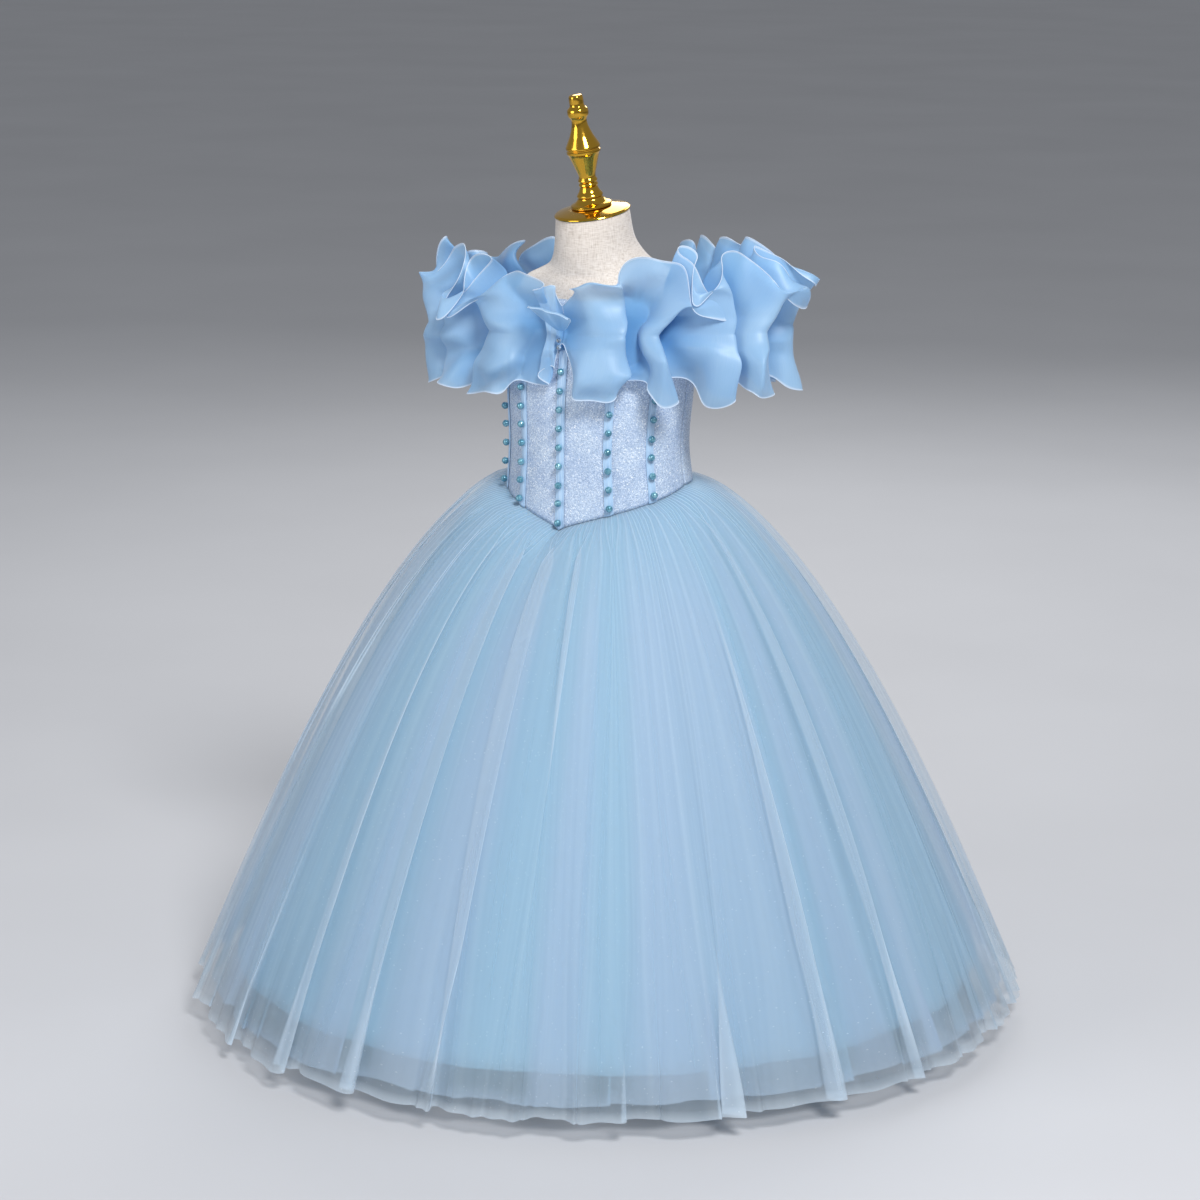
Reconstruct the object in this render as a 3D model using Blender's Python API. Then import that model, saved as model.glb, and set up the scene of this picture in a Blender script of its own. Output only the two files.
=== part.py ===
"""Child's ball gown on a limbless dress form.

Metres, +Z up. The gown faces -Y, the wearer's left is +X. The origin is the middle of the
stand's flat underside. Angles run round the body from centre front (0) towards the wearer's
left (90 at the side seam) to centre back (180); the wearer's right is negative.
"""

import math

import bmesh
import bpy
import numpy as np
from mathutils import Matrix, Vector

MM = 0.001

# Cloth
GAP = 0.3 * MM  # between neighbouring pieces
BODICE_WALL = 2.0 * MM  # glitter cloth on its backing
TULLE_WALL = 1.0 * MM
ORGANZA_WALL = 1.0 * MM
BAND_WALL = 1.6 * MM
FORM_EASE = 0.9 * MM  # between the form and the bodice's inside

# Body, as the outside of the bodice: half width, then reach to the front and to the back
BODY_SECTIONS = (
    # height, half width, front, back
    (0.400, 0.108, 0.086, 0.096),
    (0.460, 0.106, 0.084, 0.094),
    (0.500, 0.101, 0.080, 0.087),
    (0.543, 0.097, 0.078, 0.080),
    (0.580, 0.0935, 0.077, 0.075),
    (0.640, 0.097, 0.075, 0.078),
    (0.680, 0.0985, 0.070, 0.083),
    (0.705, 0.098, 0.0645, 0.086),
    (0.732, 0.097, 0.057, 0.087),
    (0.750, 0.094, 0.050, 0.084),
)
WAIST_SIDE = 0.548  # height of the waist seam at the sides and back
WAIST_POINT = 0.507  # and at the point of the basque waist
WAIST_BEND = 0.8  # under 1 gives the seam its sharp point at centre front
NECKLINE = 0.732

# Dress form above the bodice. Lean goes from 0, upright, to 1, the full tilt of the neck.
SHOULDER_SECTIONS = (
    # height, half width, front, back, lean
    (0.738, 0.092, 0.052, 0.083, 0.0),
    (0.746, 0.084, 0.048, 0.076, 0.0),
    (0.754, 0.068, 0.044, 0.066, 0.15),
    (0.762, 0.053, 0.042, 0.056, 0.35),
    (0.772, 0.0445, 0.040, 0.048, 0.6),
    (0.786, 0.0395, 0.038, 0.041, 0.85),
    (0.812, 0.0365, 0.0365, 0.0365, 1.0),
)
NECK_TILT = math.radians(10.6)
NECK_LEANS_TO = math.radians(-20)
NECK_SHIFT = 0.0096  # of the neck's top from the body's axis
FORM_BOTTOM = 0.400
FORM_SIDES = 24

# Turned brass cap and finial on the neck
CAP_PROFILE = (
    # radius, height above the neck
    (0.0375, 0.0),
    (0.0378, 0.0016),
    (0.0366, 0.0030),
    (0.0300, 0.0044),
    (0.0224, 0.0058),
)
FINIAL_PROFILE = (
    # radius, height above the cap
    (0.0200, 0.0),
    (0.0200, 0.0034),
    (0.0150, 0.0056),
    (0.0120, 0.0090),
    (0.0128, 0.0122),
    (0.0100, 0.0160),
    (0.0086, 0.0200),
    (0.0096, 0.0220),
    (0.0086, 0.0242),
    (0.0096, 0.0264),
    (0.0084, 0.0290),
    (0.0088, 0.0330),
    (0.0156, 0.0530),
    (0.0168, 0.0556),
    (0.0156, 0.0576),
    (0.0170, 0.0600),
    (0.0120, 0.0700),
    (0.0076, 0.0840),
    (0.0078, 0.0876),
    (0.0103, 0.0910),
    (0.0104, 0.0970),
    (0.0070, 0.0998),
    (0.0070, 0.1090),
    (0.0050, 0.1112),
)
TURNED_SIDES = 16

# Stand under the skirt
BASE_RADIUS = 0.140
BASE_HEIGHT = 0.012
POLE_RADIUS = 0.0125

# Bodice panels lie between these seams, on each side
SEAMS = (0.0, 30.0, 58.0, 90.0, 180.0)
PANEL_NAMES = ("front_centre", "front_side", "side", "back")
SEAM_GAP_DEGREES = 0.18
PANEL_COLUMN = 7.5  # degrees of the body that one column of facets covers
BACK_COLUMN = 10.0
PANEL_ROWS = np.linspace(0, 1, 7)  # shares of the way from the waist seam to the neckline

# Ribbon over each boning channel, with its row of pearls
RIBBON_AT = (("centre", 0.0), ("left_1", 30.0), ("left_2", 58.0), ("right_1", -30.0), ("right_2", -58.0))
RIBBON_WIDTH = 0.009
RIBBON_WALL = 1.0 * MM
RIBBON_END = 0.98  # share of the panel's height at which the ribbon stops
PEARL_RADIUS = 0.0036
PEARL_PITCH = 0.0186
PEARL_SUNK = 0.5 * MM
PEARL_ABOVE_SEAM = 0.008

# Off-shoulder band, which leaves the body to pass round the upper arms
BAND_HEIGHT = 0.030
BAND_MIDDLE = 0.700
BAND_OFF = 3.3 * MM  # the band's outside from the bodice
BAND_TILT = 0.008  # the wearer's left side sits this much higher than the middle
ARM_REACH = 0.148
ARM_FROM = 42.0  # degrees at which the band starts to leave the bodice
ARM_FULL = 86.0
BAND_COLUMNS = 46

# Organza ruffle: one row for each crest and hollow of its waves. Rise and top reach are of the
# upper edge, drop and low reach of the lower one, all in millimetres from the gathered middle.
RUFFLE_LEFT = (
    # angle, rise, top reach, drop, low reach
    (0, 32, 8, 14, 4),
    (9, 62, 26, 42, 18),
    (19, 72, 46, 56, 36),
    (28, 64, 26, 48, 18),
    (38, 80, 50, 52, 38),
    (47, 70, 24, 50, 18),
    (57, 88, 48, 58, 38),
    (66, 72, 24, 56, 18),
    (77, 84, 58, 66, 48),
    (87, 66, 36, 58, 26),
    (100, 70, 72, 66, 60),
    (109, 56, 42, 56, 30),
    (119, 78, 64, 60, 54),
    (128, 62, 28, 52, 22),
    (138, 76, 50, 60, 42),
    (147, 62, 24, 52, 16),
    (157, 74, 46, 58, 36),
    (166, 60, 24, 50, 16),
    (174, 62, 32, 50, 28),
    (180, 50, 14, 40, 12),
)
RUFFLE_RIGHT = (
    # angle, rise, top reach, drop, low reach
    (0, 32, 8, 14, 4),
    (7, 46, 22, 34, 18),
    (16, 56, 42, 58, 36),
    (25, 52, 24, 54, 18),
    (35, 72, 48, 62, 38),
    (44, 58, 26, 56, 18),
    (54, 62, 52, 58, 42),
    (63, 58, 28, 56, 22),
    (74, 70, 62, 66, 50),
    (84, 52, 40, 56, 30),
    (95, 60, 68, 64, 56),
    (105, 50, 36, 54, 26),
    (115, 74, 58, 60, 50),
    (125, 60, 26, 52, 20),
    (135, 76, 50, 58, 42),
    (145, 62, 24, 52, 16),
    (155, 72, 46, 60, 36),
    (165, 60, 24, 50, 16),
    (173, 64, 32, 52, 28),
    (180, 50, 14, 40, 12),
)
RUFFLE_COLUMNS_A_WAVE = 3  # between a crest and the next hollow
RUFFLE_PINCH = 8.0  # degrees beside centre front and back where the waves swing less
RUFFLE_END = 0.16  # degrees that each half stops short of them
RUFFLE_ROWS = (-1.0, -0.6, -0.25, 0.0, 0.3, 0.56, 0.78, 1.0)
TOP_CURL = 1.82  # over 1 turns the upper half forward and down past its highest line
BILLOW = 0.7  # under 1 makes crests broad and hollows narrow
WAVE_SWING = 0.20  # sideways swing of the crests, as a share of their reach

# Centre clasp
STONE_RADIUS = 0.0027
STONE_PITCH = 0.0072
STONE_HEIGHT = 0.695
STONE_SETTING_WIDTH = 0.003

# Skirt layers
SKIRT_BACK_SHIFT = 0.015  # of the hem's middle behind the body's axis
SKIRT_LAYERS = {
    # off the body at the waist, hem radius, hem height, flare, folds, fold depth at waist and at
    # hem; a flare under 1 swells the skirt below the waist
    "tulle_outer": (4.6 * MM, 0.422, 0.019, 0.640, 36, 1.0 * MM, 7.5 * MM),
    "tulle_inner": (1.1 * MM, 0.404, 0.027, 0.655, 24, 0.3 * MM, 3.0 * MM),
    "lining": (-1.0 * MM, 0.380, 0.053, 0.700, 12, 0.2 * MM, 2.5 * MM),
}
SKIRT_QUARTERS = (("front", -45.0), ("left", 45.0), ("back", 135.0), ("right", 225.0))
SKIRT_SEAM_DEGREES = 0.12  # that each quarter stops short of its seam
FOLD_CORNERS = ((0.0, 1.0), (0.22, 1.0), (0.5, -1.0), (0.72, -1.0))  # place in a fold, in or out
FOLD_SPREAD = 0.16  # how uneven the folds' places are


def remove_everything():
    for thing in list(bpy.data.objects):
        bpy.data.objects.remove(thing, do_unlink=True)


def material(name, colour, roughness, metallic=0.0):
    made = bpy.data.materials.new(name)
    made.use_nodes = True
    shader = made.node_tree.nodes["Principled BSDF"]
    shader.inputs["Base Color"].default_value = (*colour, 1.0)
    shader.inputs["Roughness"].default_value = roughness
    shader.inputs["Metallic"].default_value = metallic
    return made


def add_object(name, mesh, finish):
    made = bpy.data.objects.new(name, mesh)
    bpy.context.collection.objects.link(made)
    mesh.materials.append(finish)
    return made


def curve_through(places, values, at):
    """Smooth curve through a table's rows: cubic pieces whose slopes come from the rows beside them."""
    places = np.asarray(places, float)
    values = np.asarray(values, float)
    slopes = np.gradient(values, places)
    at = np.clip(at, places[0], places[-1])
    row = np.clip(np.searchsorted(places, at, side="right") - 1, 0, len(places) - 2)
    width = places[row + 1] - places[row]
    t = (at - places[row]) / width
    return (
        (2 * t**3 - 3 * t**2 + 1) * values[row]
        + (t**3 - 2 * t**2 + t) * width * slopes[row]
        + (3 * t**2 - 2 * t**3) * values[row + 1]
        + (t**3 - t**2) * width * slopes[row + 1]
    )


def billowed(places, values, at):
    """Table's rows joined by S-shaped steps, level at each row, broad at the larger value of each
    two and narrow at the smaller, as gathered cloth stands."""
    places = np.asarray(places, float)
    values = np.asarray(values, float)
    at = np.clip(at, places[0], places[-1])
    row = np.clip(np.searchsorted(places, at, side="right") - 1, 0, len(places) - 2)
    t = (at - places[row]) / (places[row + 1] - places[row])
    t = t * t * (3 - 2 * t)
    rising = values[row + 1] > values[row]
    t = np.where(rising, t**BILLOW, 1 - (1 - t) ** BILLOW)
    return values[row] * (1 - t) + values[row + 1] * t


def wall_mesh(name, surface, us, vs, outward, inward):
    """Closed wall on each side of surface(u, v), offset along the surface's own normal."""
    u, v = np.meshgrid(us, vs, indexing="ij")
    step = 1e-4
    along_u = surface(u + step, v) - surface(u - step, v)
    along_v = surface(u, v + step) - surface(u, v - step)
    normal = np.cross(along_u, along_v)
    normal /= np.linalg.norm(normal, axis=-1, keepdims=True)
    middle = surface(u, v)
    points = np.concatenate([(middle + normal * outward).reshape(-1, 3), (middle - normal * inward).reshape(-1, 3)])
    columns, rows = len(us), len(vs)
    index = np.arange(columns * rows).reshape(columns, rows)
    back = index + columns * rows
    faces = []
    for i in range(columns - 1):
        for j in range(rows - 1):
            a, b, c, d = index[i, j], index[i + 1, j], index[i + 1, j + 1], index[i, j + 1]
            faces += [(a, b, c), (a, c, d)]
            a, b, c, d = back[i, j], back[i + 1, j], back[i + 1, j + 1], back[i, j + 1]
            faces += [(a, c, b), (a, d, c)]
    rim = [(i, 0) for i in range(columns)] + [(columns - 1, j) for j in range(1, rows)]
    rim += [(i, rows - 1) for i in range(columns - 2, -1, -1)] + [(0, j) for j in range(rows - 2, -1, -1)]
    for here, there in zip(rim[:-1], rim[1:]):
        a, b, c, d = index[here], index[there], back[there], back[here]
        faces += [(a, c, b), (a, d, c)]
    mesh = bpy.data.meshes.new(name)
    mesh.from_pydata([tuple(p) for p in points], [], [tuple(int(k) for k in f) for f in faces])
    return mesh


def facing_out(mesh):
    shape = bmesh.new()
    shape.from_mesh(mesh)
    bmesh.ops.recalc_face_normals(shape, faces=shape.faces)
    shape.to_mesh(mesh)
    shape.free()
    mesh.shade_smooth()
    mesh.set_sharp_from_angle(angle=math.radians(50))
    return mesh


def wall(name, surface, us, vs, outward, inward, finish):
    return add_object(name, facing_out(wall_mesh(name, surface, us, vs, outward, inward)), finish)


def turned(name, profile, sides, finish):
    """Profile of radius and height turned round Z, with flat ends."""
    shape = bmesh.new()
    rings = []
    for radius, height in profile:
        ring = []
        for k in range(sides):
            angle = 2 * math.pi * k / sides
            ring.append(shape.verts.new((radius * math.sin(angle), -radius * math.cos(angle), height)))
        rings.append(ring)
    for low, high in zip(rings[:-1], rings[1:]):
        for k in range(sides):
            following = (k + 1) % sides
            shape.faces.new((low[k], low[following], high[following], high[k]))
    shape.faces.new(list(reversed(rings[0])))
    shape.faces.new(rings[-1])
    mesh = bpy.data.meshes.new(name)
    shape.to_mesh(mesh)
    shape.free()
    return add_object(name, facing_out(mesh), finish)


def body_section(height):
    rows = np.array(BODY_SECTIONS)
    half_width, front, back = (curve_through(rows[:, 0], rows[:, k], height) for k in (1, 2, 3))
    return half_width, (front + back) / 2, (back - front) / 2


def body_point(angle, height, off=0.0):
    """Point of the bodice's outside, or off it by a distance, at an angle in degrees round the body."""
    half_width, half_depth, middle = body_section(height)
    turn = np.radians(angle)
    return np.stack(
        [
            (half_width + off) * np.sin(turn),
            middle - (half_depth + off) * np.cos(turn),
            height + 0 * turn,
        ],
        axis=-1,
    )


def waist_seam(angle):
    """Height of the waist seam: level behind, falling to a point at centre front."""
    from_front = np.abs((np.asarray(angle, float) + 180) % 360 - 180)
    return WAIST_POINT + (WAIST_SIDE - WAIST_POINT) * np.clip(from_front / 90, 0, 1) ** WAIST_BEND


def neck_frame():
    """Place of the neck's top: its middle, and the turn that leans it."""
    towards = Vector((math.sin(NECK_LEANS_TO), -math.cos(NECK_LEANS_TO), 0))
    axis = Vector((0, 0, 1)).cross(towards)
    return towards * NECK_SHIFT, Matrix.Rotation(NECK_TILT, 4, axis)


def build_form(linen):
    """Torso, shoulders and leaning neck, lofted through its sections."""
    turns = np.radians(np.arange(FORM_SIDES) * 360 / FORM_SIDES)
    rings = []
    off = -(BODICE_WALL + FORM_EASE)
    heights = [row[0] for row in BODY_SECTIONS if row[0] <= NECKLINE]
    extra = [0.522, 0.610]
    for height in sorted(heights + extra):
        rings.append(body_point(np.degrees(turns), height, off))
    shift, _ = neck_frame()
    towards = shift.normalized()
    axis = Vector((0, 0, 1)).cross(towards)
    for height, half_width, front, back, lean in SHOULDER_SECTIONS:
        tilt = Matrix.Rotation(NECK_TILT * lean, 3, axis)
        centre = shift * lean + Vector((0, (back - front) / 2, height))
        ring = []
        for turn in turns:
            spoke = Vector((half_width * math.sin(turn), -(front + back) / 2 * math.cos(turn), 0))
            ring.append(tuple(centre + tilt @ spoke))
        rings.append(np.array(ring))
    shape = bmesh.new()
    made = [[shape.verts.new(p) for p in ring] for ring in rings]
    for low, high in zip(made[:-1], made[1:]):
        for k in range(FORM_SIDES):
            following = (k + 1) % FORM_SIDES
            shape.faces.new((low[k], low[following], high[following], high[k]))
    shape.faces.new(list(reversed(made[0])))
    shape.faces.new(made[-1])
    mesh = bpy.data.meshes.new("form_torso")
    shape.to_mesh(mesh)
    shape.free()
    add_object("form_torso", facing_out(mesh), linen)


def build_cap_and_finial(brass):
    shift, tilt = neck_frame()
    top = Vector((shift.x, shift.y, SHOULDER_SECTIONS[-1][0]))
    up = tilt @ Vector((0, 0, 1))
    cap = turned("neck_cap", CAP_PROFILE, TURNED_SIDES, brass)
    cap.matrix_world = Matrix.Translation(top + up * GAP) @ tilt
    finial = turned("finial", FINIAL_PROFILE, TURNED_SIDES, brass)
    finial.matrix_world = Matrix.Translation(top + up * (2 * GAP + CAP_PROFILE[-1][1])) @ tilt


def build_stand(steel):
    edge = 1.5 * MM
    profile = (
        (BASE_RADIUS, 0.0),
        (BASE_RADIUS, BASE_HEIGHT - edge),
        (BASE_RADIUS - edge, BASE_HEIGHT),
    )
    turned("stand_base", profile, 40, steel)
    turned("stand_pole", ((POLE_RADIUS, BASE_HEIGHT + GAP), (POLE_RADIUS, FORM_BOTTOM - GAP)), 16, steel)


def build_bodice(cloth):
    """Shaped panels between the seams, each from the waist seam up to the neckline."""
    for side, sign in (("left", 1), ("right", -1)):
        for name, start, end in zip(PANEL_NAMES, SEAMS[:-1], SEAMS[1:]):
            column = PANEL_COLUMN if end < 180 else BACK_COLUMN
            columns = round((end - start) / column)
            angles = np.linspace(start + SEAM_GAP_DEGREES / 2, end - SEAM_GAP_DEGREES / 2, columns + 1)
            if sign < 0:
                angles = -angles[::-1]
            wall(f"bodice_{name}_{side}", panel_surface, angles, PANEL_ROWS, 0.0, BODICE_WALL, cloth)


def pearl_heights(angle):
    """Pearls stand at one pitch, from just above the waist seam to just under the band."""
    first = float(waist_seam(angle)) + PEARL_ABOVE_SEAM
    last = BAND_MIDDLE - BAND_HEIGHT / 2 - BAND_TILT - PEARL_RADIUS
    return np.arange(first, last, PEARL_PITCH)


def panel_surface(angle, share):
    """Bodice's outside between the waist seam, share 0, and the neckline, share 1."""
    low = waist_seam(angle)
    return body_point(angle, low + (NECKLINE - low) * share)


def ribbon_surface(angle, share):
    low = waist_seam(angle)
    return body_point(angle, low + (NECKLINE - low) * share, GAP + RIBBON_WALL)


def build_ribbons(satin):
    """Ribbon over each boning channel, with its pearls as one body."""
    for name, angle in RIBBON_AT:
        half_width = float(body_section(np.array(0.62))[0])
        spread = math.degrees(RIBBON_WIDTH / 2 / half_width)
        angles = np.array([angle - spread, angle, angle + spread])
        shares = np.append(PANEL_ROWS[:-1], RIBBON_END)
        ribbon = wall(f"ribbon_{name}", ribbon_surface, angles, shares, 0.0, RIBBON_WALL, satin)

        beads = bmesh.new()
        for height in pearl_heights(angle):
            place = Vector(body_point(np.array(angle), np.array(height), GAP + RIBBON_WALL))
            out = Vector((place.x, place.y - float(body_section(np.array(height))[2]), 0)).normalized()
            turn = Vector((0, 0, 1)).rotation_difference(out).to_matrix().to_4x4()
            at = Matrix.Translation(place + out * (PEARL_RADIUS - PEARL_SUNK)) @ turn
            bmesh.ops.create_uvsphere(beads, u_segments=6, v_segments=4, radius=PEARL_RADIUS, matrix=at)
        mesh = bpy.data.meshes.new(f"pearls_{name}")
        beads.to_mesh(mesh)
        beads.free()
        pearls = add_object(f"pearls_{name}", mesh, satin)
        pearls.hide_render = True
        pearls.display_type = "WIRE"
        join = ribbon.modifiers.new("pearls", "BOOLEAN")
        join.operation = "UNION"
        join.object = pearls


def band_point(angle, off, height):
    """Point off the bodice at an angle round the body, this far above the off-shoulder band's
    middle line: on the bodice in front and behind, and swung out round the arms between."""
    from_side = 90 - np.abs(np.abs((angle + 180) % 360 - 180) - 90)
    swing = np.clip((from_side - ARM_FROM) / (ARM_FULL - ARM_FROM), 0, 1)
    swing = swing * swing * (3 - 2 * swing)

    def around(section_height):
        plain = body_point(angle, section_height + 0 * angle, off)
        length = np.hypot(plain[..., 0], plain[..., 1])
        scale = (length + (ARM_REACH + off - length) * swing) / length
        return plain[..., 0] * scale, plain[..., 1] * scale

    tilt = BAND_TILT * around(BAND_MIDDLE)[0] / ARM_REACH
    x, y = around(BAND_MIDDLE + tilt + np.clip(height, -BAND_HEIGHT / 2, BAND_HEIGHT / 2))
    return np.stack([x, y, BAND_MIDDLE + tilt + height], axis=-1)


def build_bands(organza):
    """Band under the ruffle: two halves, joined to the bodice at centre front and back."""

    def surface(angle, height):
        return band_point(angle, BAND_OFF, height)

    heights = np.array([-BAND_HEIGHT / 2, BAND_HEIGHT / 2])
    for side, sign in (("left", 1), ("right", -1)):
        angles = sign * np.linspace(0.1, 179.9, BAND_COLUMNS)
        if sign < 0:
            angles = angles[::-1]
        wall(f"shoulder_band_{side}", surface, angles, heights, 0.0, BAND_WALL, organza)


def ruffle_surface(rows, sign):
    """Gathered strip: across from -1, the lower edge, to 1, the upper one, and 0 where it is sewn
    down. The upper half rises and falls forward over itself, the lower half swells and hangs."""
    places, rise, top_reach, drop, low_reach = (np.array(column, float) for column in zip(*rows))

    def surface(angle, across):
        beside = np.abs(angle)
        up = np.clip(across, 0, 1.01)
        down = np.clip(-across, 0, 1.01)
        top = billowed(places, top_reach, beside) * MM
        low = billowed(places, low_reach, beside) * MM
        reach = top * up**1.25 + low * np.sin(down * 1.9)
        height = billowed(places, rise, beside) * MM * np.sin(up * TOP_CURL * math.pi / 2)
        height = height - billowed(places, drop, beside) * MM * down**1.25
        slope = (billowed(places, top_reach, beside + 1) - billowed(places, top_reach, beside - 1)) / 2
        from_pinch = np.minimum(beside, 180 - beside)
        swing = WAVE_SWING * slope * (up**2 + down**2) * np.clip(from_pinch / RUFFLE_PINCH - 0.1, 0, 1)
        at = sign * (beside - swing)
        base = band_point(at, BAND_OFF + 2 * GAP + ORGANZA_WALL / 2, height)
        length = np.hypot(base[..., 0], base[..., 1])
        grow = 1 + reach / length
        return np.stack([base[..., 0] * grow, base[..., 1] * grow, base[..., 2]], axis=-1)

    return surface


def build_ruffle(organza):
    for side, sign, rows in (("left", 1, RUFFLE_LEFT), ("right", -1, RUFFLE_RIGHT)):
        places = [row[0] for row in rows]
        columns = [places[0] + RUFFLE_END]
        for here, there in zip(places[:-1], places[1:]):
            columns += [here + (there - here) * k / RUFFLE_COLUMNS_A_WAVE for k in range(1, RUFFLE_COLUMNS_A_WAVE + 1)]
        columns[-1] -= RUFFLE_END
        columns = np.array(columns)
        middle = columns[np.argmin(np.abs(columns - 90))]
        surface = ruffle_surface(rows, sign)
        front = np.append(columns[columns < middle], middle - RUFFLE_END / 2)
        back = np.insert(columns[columns > middle], 0, middle + RUFFLE_END / 2)
        for end, angles in (("front", front), ("back", back)):
            angles = sign * angles
            if sign < 0:
                angles = angles[::-1]
            wall(
                f"ruffle_{end}_{side}",
                surface,
                angles,
                np.array(RUFFLE_ROWS),
                ORGANZA_WALL / 2,
                ORGANZA_WALL / 2,
                organza,
            )


def build_clasp(crystal):
    """Two stones, one above the other, on a narrow setting where the ruffle is pinched."""
    first_facet = RUFFLE_LEFT[1][0] / RUFFLE_COLUMNS_A_WAVE
    pinch = ruffle_surface(RUFFLE_LEFT, 1)(*np.meshgrid([RUFFLE_END, first_facet], np.linspace(-1, -0.2, 7)))
    beside = STONE_SETTING_WIDTH / 2 / float(pinch[0, 1, 0])
    front = (pinch[:, 0, 1] * (1 - beside) + pinch[:, 1, 1] * beside).min() - ORGANZA_WALL / 2 - GAP
    shape = bmesh.new()
    back_depth = 1.2 * MM
    bmesh.ops.create_cube(
        shape,
        size=1.0,
        matrix=Matrix.Translation((0, front - back_depth / 2, STONE_HEIGHT - STONE_PITCH / 2))
        @ Matrix.Diagonal((STONE_SETTING_WIDTH, back_depth, STONE_PITCH + STONE_SETTING_WIDTH, 1)),
    )
    mesh = bpy.data.meshes.new("centre_stones")
    shape.to_mesh(mesh)
    shape.free()
    setting = add_object("centre_stones", mesh, crystal)
    stones = bmesh.new()
    for height in (STONE_HEIGHT, STONE_HEIGHT - STONE_PITCH):
        bmesh.ops.create_cone(
            stones,
            cap_ends=True,
            segments=8,
            radius1=STONE_RADIUS,
            radius2=STONE_RADIUS * 0.55,
            depth=2.4 * MM,
            matrix=Matrix.Translation((0, front - back_depth - 0.6 * MM, height)) @ Matrix.Rotation(math.pi / 2, 4, "X"),
        )
    mesh = bpy.data.meshes.new("stone_shapes")
    stones.to_mesh(mesh)
    stones.free()
    cutter = add_object("stone_shapes", mesh, crystal)
    cutter.hide_render = True
    cutter.display_type = "WIRE"
    join = setting.modifiers.new("stones", "BOOLEAN")
    join.operation = "UNION"
    join.object = cutter


def uneven(number, seed):
    """Repeatable scatter between -1 and 1 for the fold of this number."""
    value = math.sin(number * 12.9898 + seed * 78.233) * 43758.5453
    return 2 * (value - math.floor(value)) - 1


def fold_columns(folds, seed):
    """Angles of the fold corners round the skirt, and which way each stands."""
    pitch = 360 / folds
    angles, stands = [], []
    for number in range(folds):
        depth = 0.82 + 0.18 * uneven(number, seed + 1)
        for place, stand in FOLD_CORNERS:
            moved = place + (FOLD_SPREAD * uneven(number, seed) if 0 < place else 0)
            angles.append((number + moved) * pitch)
            stands.append(stand * depth)
    return np.array(angles), np.array(stands)


def skirt_surface(layer, fold_angles, fold_stands):
    """Skirt from the waist seam, share 0, to the hem, share 1, which spreads as a power of the drop."""
    off, hem_radius, hem_height, flare, _, waist_depth, hem_depth = SKIRT_LAYERS[layer]
    around = np.concatenate([fold_angles - 360, fold_angles, fold_angles + 360])
    stands = np.tile(fold_stands, 3)

    def surface(angle, share):
        share = np.clip(share, 0, 1)
        top = waist_seam(angle) - GAP - TULLE_WALL / 2
        start = body_point(angle, top, off)
        turn = np.radians(angle)
        spread = np.clip(share, 1e-9, 1) ** flare
        fold = np.interp(angle, around, stands) * (waist_depth + (hem_depth - waist_depth) * share)
        end_x = hem_radius * np.sin(turn)
        end_y = SKIRT_BACK_SHIFT - hem_radius * np.cos(turn)
        x = start[..., 0] + (end_x - start[..., 0]) * spread + fold * np.sin(turn)
        y = start[..., 1] + (end_y - start[..., 1]) * spread - fold * np.cos(turn)
        return np.stack([x, y, top + (hem_height - top) * share], axis=-1)

    return surface


def build_skirt(finishes):
    for seed, layer in enumerate(SKIRT_LAYERS):
        fold_angles, fold_stands = fold_columns(SKIRT_LAYERS[layer][4], seed * 7)
        surface = skirt_surface(layer, fold_angles, fold_stands)
        rows = 7 if layer == "tulle_outer" else 5
        shares = np.linspace(0.02, 1, rows) ** 1.7
        for name, start in SKIRT_QUARTERS:
            around = np.sort(np.concatenate([fold_angles - 360, fold_angles]))
            inside = around[(around > start + 1) & (around < start + 89)]
            angles = np.concatenate([[start + SKIRT_SEAM_DEGREES], inside, [start + 90 - SKIRT_SEAM_DEGREES]])
            wall(f"{layer}_{name}", surface, angles, shares, TULLE_WALL / 2, TULLE_WALL / 2, finishes[layer])


def main():
    remove_everything()
    linen = material("linen", (0.58, 0.53, 0.48), 0.9)
    brass = material("polished brass", (0.60, 0.42, 0.09), 0.2, 1.0)
    steel = material("painted steel", (0.75, 0.75, 0.75), 0.5, 0.3)
    glitter = material("glitter cloth", (0.45, 0.57, 0.74), 0.5)
    satin = material("satin ribbon", (0.36, 0.55, 0.76), 0.35)
    organza = material("organza", (0.34, 0.55, 0.80), 0.4)
    crystal = material("crystal", (0.75, 0.8, 0.85), 0.05)
    skirt_finishes = {
        "tulle_outer": material("tulle", (0.42, 0.64, 0.80), 0.6),
        "tulle_inner": material("under tulle", (0.38, 0.61, 0.78), 0.6),
        "lining": material("satin lining", (0.33, 0.60, 0.78), 0.4),
    }
    build_form(linen)
    build_cap_and_finial(brass)
    build_stand(steel)
    build_bodice(glitter)
    build_ribbons(satin)
    build_bands(organza)
    build_ruffle(organza)
    build_clasp(crystal)
    build_skirt(skirt_finishes)


main()
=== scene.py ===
import math

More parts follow.
